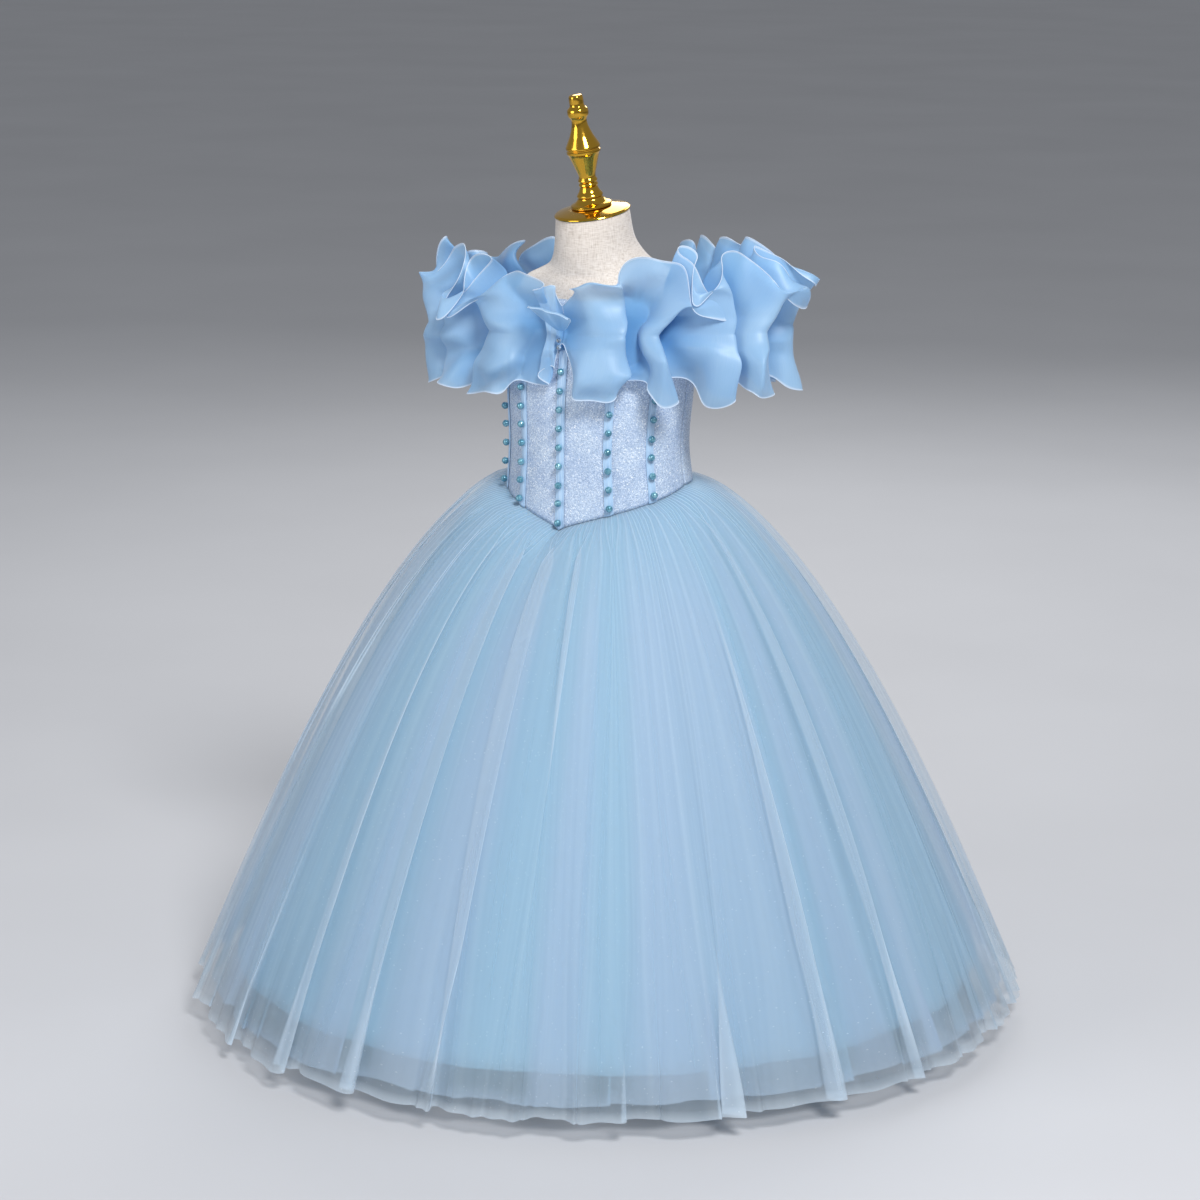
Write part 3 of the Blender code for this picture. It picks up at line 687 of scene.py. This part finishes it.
ribbons = {
    # name, angle, and the bodice panels beside the channel that the ribbon covers
    "at": (
        ("centre", 0.0, ("front_centre_left", "front_centre_right")),
        ("left_1", 30.0, ("front_centre_left", "front_side_left")),
        ("left_2", 58.0, ("front_side_left", "side_left")),
        ("right_1", -30.0, ("front_centre_right", "front_side_right")),
        ("right_2", -58.0, ("front_side_right", "side_right")),
    ),
    "width": 9.0 * mm,
    "cutWidth": 10.0 * mm,  # with half a millimetre turned under along each edge
    "thickness": 1.0 * mm,
    "gap": 0.3 * mm,
    "end": 0.98,  # share of the way to the neckline
    "columns": 25,
    "rows": 90,
    "stitchIn": 1.1 * mm,  # the line of stitches from each edge
    "swell": 0.5 * mm,  # between the two lines of stitches
    "stitchDip": 0.25 * mm,
    "wall": 0.9 * mm,
    "spreadAt": 0.62,  # height at which the width is turned into degrees
    "patternLength": 0.22,  # of cloth that the satin's pattern is laid along
    "pearlRadius": 3.6 * mm,
    "pearlPitch": 18.6 * mm,
    "pearlSunk": 0.5 * mm,
    "pearlAboveSeam": 8.0 * mm,
    "pearlTop": 0.6734,
    "pearlUneven": 0.5 * mm,
}


def ribbonSurface(angle, share, off):
    low = waistSeam(angle)
    return bodyPoint(angle, low + (body["neckline"] - low) * share, off)


def makeRibbons():
    for name, angle, panels in ribbons["at"]:
        halfWidth = float(bodySection(np.array(ribbons["spreadAt"]))[0])
        spread = math.degrees(ribbons["width"] / 2 / halfWidth)
        across = np.linspace(-1, 1, ribbons["columns"])
        shares = np.linspace(0, ribbons["end"], ribbons["rows"])
        u, v = grid(across, shares)
        # flat ribbon, a little fuller between its two stitch lines, which pull it down
        stitched = 1 - ribbons["stitchIn"] / (ribbons["width"] / 2)
        swell = ribbons["swell"] * np.clip(1 - (u / stitched) ** 2, 0, 1)
        dip = ribbons["stitchDip"] * np.exp(-(((np.abs(u) - stitched) / 0.06) ** 2))
        points = ribbonSurface(angle + spread * u, v, ribbons["gap"] + ribbons["thickness"] + swell - dip)
        alongs = np.linspace(0, ribbons["patternLength"], len(shares))
        flat = (np.linspace(0, ribbons["width"], len(across)), alongs)
        mesh = gridMesh(f"satinRibbon_{name}", points, uv=flat)
        piece = addPiece(mesh.name, mesh, ribbonMaterial)
        giveThickness(piece, ribbons["wall"])
        pearls = makePearls(name, angle)
        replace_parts(piece, f"ribbon_{name}")


def makePearls(name, angle):
    # round beads at one pitch up the ribbon, each sewn a little above or below its place
    first = float(waistSeam(angle)) + ribbons["pearlAboveSeam"]
    heights = np.arange(first, ribbons["pearlTop"], ribbons["pearlPitch"])
    heights = heights + ribbons["pearlUneven"] * uneven(np.arange(len(heights)), angle)
    on = bodyPoint(np.full(len(heights), angle), heights, ribbons["gap"] + ribbons["thickness"])
    out = on - np.stack([0 * heights, bodySection(heights)[2], heights], axis=-1)
    out /= np.linalg.norm(out, axis=1, keepdims=True)
    places = on + out * (ribbons["pearlRadius"] - ribbons["pearlSunk"])
    turns = np.repeat(np.eye(3)[None], len(heights), axis=0)

    def bead(shape):
        bmesh.ops.create_icosphere(shape, subdivisions=3, radius=ribbons["pearlRadius"])

    mesh = repeatedMesh(f"pearlRow_{name}", bead, places, turns)
    return addPiece(mesh.name, mesh, pearlMaterial)


makeRibbons()
print("ribbons and pearls made")


band = {
    "height": 0.030,
    "middle": 0.700,
    "off": 3.3 * mm,
    "tilt": 0.008,
    "armReach": 0.148,
    "armFrom": 42.0,
    "armFull": 86.0,
    "wall": 1.6 * mm,
    "columns": 180,
    "rows": 9,
}


def bandPoint(angle, off, height):
    # on the bodice in front and behind, swung out round the arms between: the section's own radius
    # there grows to the arm's reach by a smooth step over the angle
    fromSide = 90 - np.abs(np.abs((angle + 180) % 360 - 180) - 90)
    swing = smoothStep((fromSide - band["armFrom"]) / (band["armFull"] - band["armFrom"]))

    def around(sectionHeight):
        plain = bodyPoint(angle, sectionHeight + 0 * angle, off)
        length = np.hypot(plain[..., 0], plain[..., 1])
        scale = (length + (band["armReach"] + off - length) * swing) / length
        return plain[..., 0] * scale, plain[..., 1] * scale

    tilt = band["tilt"] * around(band["middle"])[0] / band["armReach"]
    x, y = around(band["middle"] + tilt + np.clip(height, -band["height"] / 2, band["height"] / 2))
    return np.stack([x, y, band["middle"] + tilt + height], axis=-1)


def makeBands():
    for side, sign in (("left", 1), ("right", -1)):
        angles = np.linspace(0.1, 179.9, band["columns"])
        angles = angles if sign > 0 else -angles[::-1]
        heights = np.linspace(-band["height"] / 2, band["height"] / 2, band["rows"])
        angle, height = grid(angles, heights)
        points = bandPoint(angle, band["off"], height)
        length = float(lineLengths(points[:, band["rows"] // 2]))
        alongs = np.linspace(0, length, band["columns"])
        mesh = gridMesh(f"shoulderBand_{side}", points, uv=(alongs, heights))
        addAttribute(mesh, "edge", 0 * angle)
        # painted shade: the band, under the ruffle, is painted all over in the deeper blue of the hollows
        addAttribute(mesh, "stack", 0 * angle + 1)
        piece = addPiece(mesh.name, mesh, organzaMaterial)
        giveThickness(piece, band["wall"])
        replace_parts(piece, f"shoulder_band_{side}")


ruffle = {
    "fromBand": 4.5 * mm,
    "columnsAWave": 84,
    "rows": 65,
    "loop": 8.0 * mm,  # sideways swing that turns each wave into a rounded loop
    "hemRadius": 0.4 * mm,
    "pinchCreases": 5.0 * mm,
    "creasesAcross": 9.5,  # radians of crease between the strip's middle and its edge
    "creasesGrow": 30,  # degrees from the pinch over which the creases grow, and
    "creasesFade": 16,  # the degrees after them over which they fade
    "seamEnd": 0.16,  # degrees that each half stays off the centre planes
    "driftGrows": (26, 20),  # degrees over which the drift grows from the pinch and from the back
    "upperArch": 2.1,  # radians of a sine wave that the reach follows up to the edge
    "lowerArch": 2.3,  # and down to it
    "bendArch": 2.6,
    "curlReach": 10,  # millimetres further forward for a curl of 2
    "clear": 5 * mm,  # of the body
    "drifts": ((11 * mm, 0.085), (4.5 * mm, 0.042)),  # uneven push of the cloth, its wavelength
    # one row a wave, from its crest: angle, rise of the upper edge there; angle, rise and reach of
    # the hollow after it; reach at the ridge and at the belly, drop and reach of the lower edge,
    # sideways lean as a share of the reach, sideways sway of the upper edge, bend of the fold
    # between its edges, and curl, where 1 stands and 2 falls right forward; degrees, millimetres
    "left": (
        (19, 50, 36, 76, 24, 22, 20, 62, 36, 0.20, -6, 10, 1.15),
        (44, 30, 52, 82, 18, 38, 27, 60, 36, 0.45, 14, -12, 1.75),
        (60, 40, 69, 79, 14, 42, 31, 66, 40, 0.35, -14, 12, 1.4),
        (78, 40, 88, 84, 12, 56, 40, 64, 46, 0.30, 16, -12, 1.8),
        (98, 50, 108, 77, 14, 64, 46, 62, 54, 0.10, -12, 9, 1.4),
        (117, 44, 127, 80, 14, 58, 42, 60, 50, -0.10, 10, -9, 1.7),
        (136, 42, 146, 75, 14, 50, 36, 58, 44, -0.20, -8, 8, 1.4),
        (154, 46, 163, 72, 14, 44, 32, 60, 38, -0.20, 8, -7, 1.3),
        (171, 38, 179.84, 52, 12, 34, 26, 52, 30, -0.20, 5, -4, 1.4),
    ),
    "right": (
        (6, 49, 13, 58, 14, 11, 5, 30, 8, 0.00, 0, 0, 1.0),
        (38, 22, 50, 74, 15, 36, 26, 62, 34, 0.30, 8, -12, 1.5),
        (58, 36, 66, 78, 14, 44, 32, 60, 40, 0.35, -14, 10, 1.75),
        (74, 48, 82, 80, 16, 60, 44, 66, 54, 0.25, 14, -11, 1.4),
        (91, 46, 99, 72, 16, 68, 50, 64, 60, 0.15, -12, 10, 1.8),
        (107, 50, 115, 80, 14, 66, 48, 60, 56, 0.00, 10, -9, 1.4),
        (123, 46, 131, 78, 14, 56, 42, 62, 50, -0.10, -10, 9, 1.7),
        (140, 42, 148, 75, 14, 50, 36, 58, 44, -0.20, 8, -7, 1.4),
        (156, 46, 164, 72, 14, 44, 32, 60, 38, -0.20, -8, 7, 1.3),
        (171, 38, 179.84, 52, 12, 34, 26, 52, 30, -0.20, -5, 4, 1.4),
    ),
    # drop and lower reach in the hollows; rise, upper reach, drop and lower reach at the pinch
    "hollow": (48, 8),
    "pinch": (28, 7, 9, 2),
}


def ruffleSurface(sign, rows):
    table = np.array(rows, float).T
    crestAngle, rise, backAngle, backRise, backReach = table[:5]
    topReach, belly, drop, lowReach, lean, sway, bend, curl = table[5:]
    count = len(rows)
    hollowAngle = np.concatenate([[ruffle["seamEnd"]], backAngle])
    waves = np.arange(2 * count + 1) / 2
    angleRows = np.empty(2 * count + 1)
    angleRows[0::2] = hollowAngle
    angleRows[1::2] = crestAngle
    crestWaves = np.arange(count) + 0.5
    hollowWaves = np.arange(count + 1)
    hollowRise = np.concatenate([[ruffle["pinch"][0]], backRise])
    hollowTop = np.concatenate([[ruffle["pinch"][1]], backReach])

    def surface(wave, across):
        # wave runs one unit from hollow to hollow, across from -1, the lower edge, to 1, the upper
        # one, and 0 is sewn to the band. Each value is the hollow's, plus the crest's excess by
        # the shape (1 - cos) / 2; the crests swell forward and their upper edge dips below the
        # hollows', loops, lean, sway and bend move them sideways, and creases spread from the pinch
        up = np.clip(across, 0, 1)
        down = np.clip(-across, 0, 1)
        beside = np.abs(across)
        crest = (1 - np.cos(2 * math.pi * wave)) / 2
        pinched = smoothStep(np.minimum(wave, count - wave) / 0.5)

        def atCrest(column):
            return curveThrough(crestWaves, column, wave)

        def atHollow(k):
            return ruffle["pinch"][k + 2] + (ruffle["hollow"][k] - ruffle["pinch"][k + 2]) * pinched

        crestUp = atCrest(rise) * np.sin(up * atCrest(curl) * math.pi / 2)
        hollowUp = curveThrough(hollowWaves, hollowRise, wave) * up**0.95
        height = hollowUp + (crestUp - hollowUp) * crest
        hollowDown = atHollow(0) * down
        crestDown = atCrest(drop) * down**1.1
        height = height - hollowDown - (crestDown - hollowDown) * crest
        upperArch = np.sin(up * ruffle["upperArch"])
        lowerArch = np.sin(down * ruffle["lowerArch"])
        crestReach = atCrest(belly) + (atCrest(topReach) - atCrest(belly)) * upperArch
        crestReach = crestReach + (atCrest(lowReach) - atCrest(belly)) * lowerArch
        crestReach = crestReach + ruffle["curlReach"] * (atCrest(curl) - 1) * up**2
        hollowReach = curveThrough(hollowWaves, hollowTop, wave) * up**1.7 + atHollow(1) * down**1.5
        reach = hollowReach + (crestReach - hollowReach) * crest
        around = curveThrough(waves, angleRows, wave)
        past = (around - ruffle["creasesGrow"]) / ruffle["creasesFade"]
        nearPinch = smoothStep(around / ruffle["creasesGrow"]) * (1 - smoothStep(past))
        creases = np.sin(ruffle["creasesAcross"] * across + 0.8 + 0.5 * sign)
        reach = reach + ruffle["pinchCreases"] / mm * nearPinch * creases
        narrow = np.clip(atCrest(np.diff(hollowAngle)) / 10 - 1, 0, 1)
        loop = ruffle["loop"] / mm * narrow * (0.4 + 0.6 * beside) * np.sin(4 * math.pi * wave)
        sideways = (loop + atCrest(lean) * np.clip(reach, 0, None)) * pinched
        swayed = atCrest(sway) * across + atCrest(bend) * np.cos(across * ruffle["bendArch"])
        sideways = sideways + swayed * (0.3 + 0.7 * crest) * pinched
        base = bandPoint(sign * around, ruffle["fromBand"], height * mm)
        length = np.hypot(base[..., 0], base[..., 1])
        moved = around + np.degrees(sideways * mm / (length + reach * mm))
        moved = np.clip(moved, ruffle["seamEnd"], 180 - ruffle["seamEnd"])
        base = bandPoint(sign * moved, ruffle["fromBand"], height * mm)
        length = np.hypot(base[..., 0], base[..., 1])
        grow = 1 + reach * mm / length
        points = np.stack([base[..., 0] * grow, base[..., 1] * grow, base[..., 2]], axis=-1)
        fromPinch, fromBack = ruffle["driftGrows"]
        free = smoothStep(around / fromPinch) * smoothStep((180 - around) / fromBack)
        free = (smoothStep(beside / 0.5) * free)[..., None]
        for seed, (amount, wavelength) in enumerate(ruffle["drifts"]):
            points = points + drift(points, 5 + sign + 7 * seed, wavelength, amount) * free
        return clearOfBody(points)

    return surface, count


def clearOfBody(points):
    # pushes out whatever would touch the bodice or the shoulders above it
    angle = np.degrees(np.arctan2(points[..., 0], -points[..., 1]))
    height = points[..., 2]
    skin = bodyPoint(angle, np.clip(height, 0.6, 0.75), 0)
    least = np.hypot(skin[..., 0], skin[..., 1]) + ruffle["clear"]
    length = np.hypot(points[..., 0], points[..., 1])
    grow = np.maximum(length, least) / length
    return points * np.stack([grow, grow, 0 * grow + 1], axis=-1)


def surfaceNormals(points):
    normals = np.cross(np.gradient(points, axis=0), np.gradient(points, axis=1))
    return normals / np.maximum(np.linalg.norm(normals, axis=-1, keepdims=True), 1e-12)


def makeRuffle():
    for side, sign in (("left", 1), ("right", -1)):
        surface, count = ruffleSurface(sign, ruffle[side])
        waves = np.linspace(0, count, count * ruffle["columnsAWave"] + 1)
        if sign < 0:
            waves = waves[::-1]
        acrosses = np.linspace(-1, 1, ruffle["rows"])
        wave, across = grid(waves, acrosses)
        points = surface(wave, across)
        lengths = lineLengths(points, 0)
        length = float(lengths.mean())
        width = float(lineLengths(points, 1).mean())
        flat = (np.linspace(0, length, len(waves)), np.linspace(0, width, len(acrosses)))
        mesh = gridMesh(f"organzaRuffle_{side}", points, uv=flat)
        # the rolled hems: drawn denser, and painted paler as a painted highlight
        addAttribute(mesh, "edge", smoothStep((np.abs(across) - 0.975) / 0.02))
        hollow = (1 + np.cos(2 * math.pi * wave)) / 2
        # painted shade: darker in the hollows, most of all near the seam to the band
        addAttribute(mesh, "stack", hollow**1.5 * (1 - 0.75 * np.abs(across) ** 2))
        piece = addPiece(mesh.name, mesh, organzaMaterial)
        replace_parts(piece, f"ruffle_front_{side}", f"ruffle_back_{side}")
        normals = surfaceNormals(points)
        for edge, row in (("lower", 0), ("upper", -1)):
            hem = tubeAlong(f"ruffleHem_{edge}_{side}", points[:, row], normals[:, row], ruffle["hemRadius"])
            # the rolled hem's thread is painted wholly in the highlight colour
            addAttribute(hem, "edge", np.ones(len(hem.vertices)))
            addPiece(hem.name, hem, organzaMaterial)
        if sign > 0:
            makeCentreFlap()
        edges = f"edges {lengths[0]:.2f} and {lengths[-1]:.2f} m"
        print(f"ruffle {side}: {length:.2f} m by {width:.3f} m of cloth, {edges}")


centreFlap = {
    # the cloth between the two halves, fanned out of the pinch over the stones
    "foot": 0.704,
    "halfWidth": 23 * mm,
    "rise": 19 * mm,
    "reach": (7.0, 19.0),  # in front of the band, at the foot and at the top, in millimetres
    "roll": 3.5 * mm,
    "rollFrom": 0.72,  # share of the way up at which the top starts to roll
    "rollTurn": 2.4,  # radians
    "shift": 3 * mm,  # of the top, towards the wearer's right
    "columns": 61,
    "rows": 41,
}


def makeCentreFlap():
    # fan of creases from the foot; its width grows with the rise, and its top rolls forward
    columns, rows = centreFlap["columns"], centreFlap["rows"]
    u, v = grid(np.linspace(-1, 1, columns), np.linspace(0, 1, rows))
    rollFrom = centreFlap["rollFrom"]
    straight = np.minimum(v / rollFrom, 1)
    rolled = np.clip(v - rollFrom, 0, 1) / (1 - rollFrom) * centreFlap["rollTurn"]
    front = bandPoint(0.0 * u, ruffle["fromBand"], 0.0 * u)[..., 1]
    low, high = centreFlap["reach"]
    crease = 1.8 * np.sin(7 * u + 1.0) * straight + 3.5 * (1 - u**2) * straight
    reach = (low + (high - low) * straight + crease) * mm + centreFlap["roll"] * (1 - np.cos(rolled))
    x = centreFlap["halfWidth"] * u * (0.12 + 0.88 * straight**0.8) - centreFlap["shift"] * straight
    rise = centreFlap["rise"] * straight * (1 - 0.22 * u - 0.12 * u**2)
    z = centreFlap["foot"] + rise + centreFlap["roll"] * np.sin(rolled)
    points = np.stack([x, front - reach, z], axis=-1)
    flat = (np.linspace(0, 2 * centreFlap["halfWidth"], columns), np.linspace(0, 0.04, rows))
    mesh = gridMesh("centreFlap", points, uv=flat)
    # the flap's edges take the painted highlight of the rolled hem
    addAttribute(mesh, "edge", smoothStep((np.maximum(np.abs(u), v) - 0.97) / 0.02))
    # painted shade, deepest at the foot in the pinch
    addAttribute(mesh, "stack", 0.8 * (1 - straight))
    return addPiece("centreFlap", mesh, organzaMaterial)


makeBands()
makeRuffle()
print("band and ruffle made")


clasp = {
    "height": 0.695,
    "pitch": 7.2 * mm,
    "radius": 2.9 * mm,
    "tableShare": 0.55,
    "depth": 2.2 * mm,
    "behindFront": 1.2 * mm,  # of the solid setting, to the middle of a stone
    "facets": 12,
}


def makeClasp():
    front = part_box("centre_stones")[0][1]
    heights = np.array([clasp["height"], clasp["height"] - clasp["pitch"]])
    places = np.stack([0 * heights, 0 * heights + front + clasp["behindFront"], heights], axis=-1)
    turn = np.array([[1, 0, 0], [0, 0, -1], [0, 1, 0]], float)

    def stone(shape):
        # a flat table on a sloped crown
        bmesh.ops.create_cone(
            shape,
            cap_ends=True,
            segments=clasp["facets"],
            radius1=clasp["radius"],
            radius2=clasp["radius"] * clasp["tableShare"],
            depth=clasp["depth"],
        )

    mesh = repeatedMesh("claspStones", stone, places, np.repeat(turn[None], 2, axis=0))
    mesh.set_sharp_from_angle(angle=math.radians(20))
    piece = addPiece("claspStones", mesh, stoneMaterial)
    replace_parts(piece, "centre_stones")


makeClasp()
print("clasp made")


skirt = {
    "backShift": 0.015,
    "gap": 0.3 * mm,
    "tuckDrop": 0.012,  # share of the drop in which a layer comes out from under the bodice's edge
    "hemWaver": 4 * mm,  # of the tulle's hems
    "pleatsAFold": 2.4,  # small pleats that fall open at the tulle's hems
    "pleatDepth": 2.5 * mm,
    "pleatSwing": 2.1,
    "cutShare": 0.62,  # share of its rectangle that a layer takes, cut as gores
    # off in the seam and below it, hem radius, hem height, flare, folds, how far they fold over
    # (above 1 the cloth lies in three layers), depth at waist and hem, fine gathers and their depth
    "outer": (-0.6 * mm, 4.4 * mm, 0.421, 0.019, 0.640, 27, 2.5, 1.2 * mm, 6.5 * mm, 150, 1.1 * mm),
    "inner": (-1.1 * mm, 1.4 * mm, 0.404, 0.027, 0.655, 19, 1.5, 0.4 * mm, 4.0 * mm, 110, 0.5 * mm),
    "lining": (-1.7 * mm, -1.2 * mm, 0.380, 0.053, 0.700, 12, 0.3, 0.2 * mm, 2.5 * mm, 60, 0.3 * mm),
}


def skirtPoints(layer, seed, columns, rows):
    # from the waist seam, share 0, to the hem, share 1, the skirt spreads as a power of the drop.
    # Folds are sine waves of uneven width, folded over sideways by an uneven share, so that in
    # places the cloth lies in three layers; fine gathers start at the waist and fade
    seamOff, off, hemRadius, hemHeight, flare, folds, over = skirt[layer][:7]
    waistDepth, hemDepth, gathers, gatherDepth = skirt[layer][7:]
    net = layer != "lining"
    turns = np.linspace(0, 2 * math.pi, columns, endpoint=False)
    shares = np.linspace(0, 1, rows) ** 1.25
    turn, share = grid(turns, shares)
    phase = folds * turn + 1.6 * wander(turn, seed, 9)
    folded = over * (0.35 + wander(turn, seed + 5, 8) + 0.35 * np.sin(3.1 * share + 5 * turn))
    folded = np.clip(folded, -over, over) * smoothStep(share / 0.06) * (1 - 0.35 * share)
    fold = np.sin(phase) * (0.8 + 0.3 * wander(turn, seed + 1, 7))
    second = 0.45 * np.cos(2.0 * phase + 2 * wander(turn, seed + 2, 8)) * share**3
    second = second + 0.3 * np.cos(5.0 * phase + 3 * wander(turn, seed + 3, 8)) * share**8
    gather = gathers * turn + 2.2 * wander(turn, seed + 4, 8) + 5 * wander(turn, seed + 8, 23)
    fine = gatherDepth * np.exp(-share * 13) * smoothStep(share / 0.01) * np.cos(gather)
    fine = fine * (0.7 + 0.4 * wander(turn, seed + 9, 12))
    top = waistSeam(np.degrees(turn)) - skirt["gap"]
    turnMoved = turn + folded * np.sin(phase) / folds
    pleats = round(skirt["pleatsAFold"] * folds)
    pleat = pleats * turn + 2.5 * wander(turn, seed + 11, 13)
    falling = smoothStep((share - 0.7) / 0.3) * (0.5 + 0.5 * wander(turn, seed + 12, 11)) * net
    turnMoved = turnMoved + skirt["pleatSwing"] * falling * np.sin(pleat) / pleats
    out = seamOff + (off - seamOff) * smoothStep(share / skirt["tuckDrop"])
    start = bodyPoint(np.degrees(turnMoved), top, out)
    spread = share**flare
    depth = waistDepth * smoothStep(share / 0.03) + (hemDepth - waistDepth) * share
    bulk = (fold + second) * depth + fine
    bulk = bulk + skirt["pleatDepth"] * falling * np.sin(pleat)
    endX = hemRadius * np.sin(turnMoved)
    endY = skirt["backShift"] - hemRadius * np.cos(turnMoved)
    x = start[..., 0] + (endX - start[..., 0]) * spread + bulk * np.sin(turnMoved)
    y = start[..., 1] + (endY - start[..., 1]) * spread - bulk * np.cos(turnMoved)
    hem = hemHeight + skirt["hemWaver"] * (wander(turn, seed + 6, 10) + 1) * net
    z = top + (hem - top) * share
    # painted light: the inner tulle is painted paler in soft broad bands, as on lit folds, and drawn denser
    # there; they show through the outer net
    bands = 17 * turn + 3.2 * wander(turn, seed + 10, 9) + 0.7 * share
    litFoldBands = 0.8 * smoothStep(0.4 + 0.65 * np.sin(bands)) * (0.3 + 0.7 * smoothStep(share / 0.2))
    # painted highlights: brighter lines where the cloth turns back on itself, on the gathers by the waist
    # and along the cut hem; the net is drawn denser there too
    turning = np.exp(-(((1 + folded * np.cos(phase)) / 0.3) ** 2))
    turning = turning * smoothStep((np.abs(folded) - 1) / 0.3)
    gathered = smoothStep((np.cos(gather) - 0.7) / 0.3) * np.exp(-share * 12) * 0.7
    cutEdge = 0.7 * smoothStep((share - 0.990) / 0.006)
    crease = np.clip(turning + gathered + cutEdge, 0, 1)
    return np.stack([x, y, z], axis=-1), np.maximum(crease, litFoldBands) if layer == "inner" else crease


def makeSkirtLayer(name, layer, solids, seed, material, columns, rows):
    points, crease = skirtPoints(layer, seed, columns, rows)
    closed = np.concatenate([points, points[:1]])
    hem = float(lineLengths(closed[:, -1]))
    waist = float(lineLengths(closed[:, 0]))
    length = float(lineLengths(points, 1).mean())
    flat = (np.linspace(0, hem, columns + 1), np.linspace(0, length, rows))
    mesh = gridMesh(name, points, around=True, flip=True, uv=flat)
    addAttribute(mesh, "crease", crease)
    piece = addPiece(name, mesh, material)
    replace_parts(piece, *[f"{solids}_{quarter}" for quarter in ("front", "left", "back", "right")])
    print(f"{name}: hem {hem:.2f} m, waist {waist:.2f} m, length {length:.3f} m")
    return piece


makeSkirtLayer("outerTulle", "outer", "tulle_outer", 0, outerTulleMaterial, 1440, 68)
makeSkirtLayer("innerTulle", "inner", "tulle_inner", 7, innerTulleMaterial, 1080, 48)
lining = makeSkirtLayer("satinLining", "lining", "lining", 14, liningMaterial, 720, 48)
giveThickness(lining, 0.6 * mm, offset=0.0)
print("skirt made")


studio = {
    "floor": "#C4C5C9",
    "floorDark": "#BFC0C4",
    "floorReach": 40,  # metres each way
    "sky": "#DADDE2",
    "skyStrength": 0.42,
    # name, place, aim height, size and power of each soft light
    "lights": (
        ("keyLight", (2.3, -1.9, 3.3), 0.55, 1.2, 165.0),
        ("fillLight", (-1.9, -3.0, 1.4), 0.45, 2.4, 42.0),
        ("backLight", (-0.9, 2.6, 2.4), 0.5, 2.0, 40.0),
    ),
    "cameraAzimuth": math.radians(30),
    "cameraDistance": 3.3,
    "cameraHeight": 1.2,
    "cameraPitch": math.radians(13.30),
    "lens": 100.83,
}


def makeStudio():
    # painted floor: matt, with faint broad clouds
    made, tree = newMaterial("matt studio floor")
    cloudy = noise(tree, objectPlace(tree), 1.5, 3.0)
    colour = ramp(tree, cloudy, [(0.3, studio["floorDark"]), (0.7, studio["floor"])])
    finished(made, principled(tree, {"Base Color": colour, "Roughness": 0.8}))
    far = studio["floorReach"]
    corners = np.array([[[-far, -far, 0], [-far, far, 0]], [[far, -far, 0], [far, far, 0]]], float)
    mesh = gridMesh("studioFloor", corners)
    floor = addObject("studioFloor", mesh)
    mesh.materials.append(made)
    for name, place, aim, size, power in studio["lights"]:
        light = bpy.data.lights.new(name, "AREA")
        light.shape = "DISK"
        light.size = size
        light.energy = power
        lamp = addObject(name, light)
        lamp.location = place
        x, y, z = place
        lamp.rotation_euler = (math.atan2(math.hypot(x, y), z - aim), 0, math.atan2(y, x) + math.pi / 2)
    world = bpy.data.worlds.new("studio")
    world.use_nodes = True
    sky = world.node_tree.nodes["Background"]
    sky.inputs["Color"].default_value = linear(studio["sky"])
    sky.inputs["Strength"].default_value = studio["skyStrength"]
    bpy.context.scene.world = world
    bpy.context.scene.view_settings.view_transform = "Standard"


def makeCamera():
    view = bpy.data.cameras.new("photoView")
    view.lens = studio["lens"]
    view.sensor_width = 36
    view.clip_end = 200
    camera = addObject("photoView", view)
    turn = studio["cameraAzimuth"]
    camera.location = (
        studio["cameraDistance"] * math.sin(turn),
        -studio["cameraDistance"] * math.cos(turn),
        studio["cameraHeight"],
    )
    camera.rotation_euler = (math.pi / 2 - studio["cameraPitch"], 0, turn)
    bpy.context.scene.camera = camera


makeStudio()
makeCamera()
print("studio made")

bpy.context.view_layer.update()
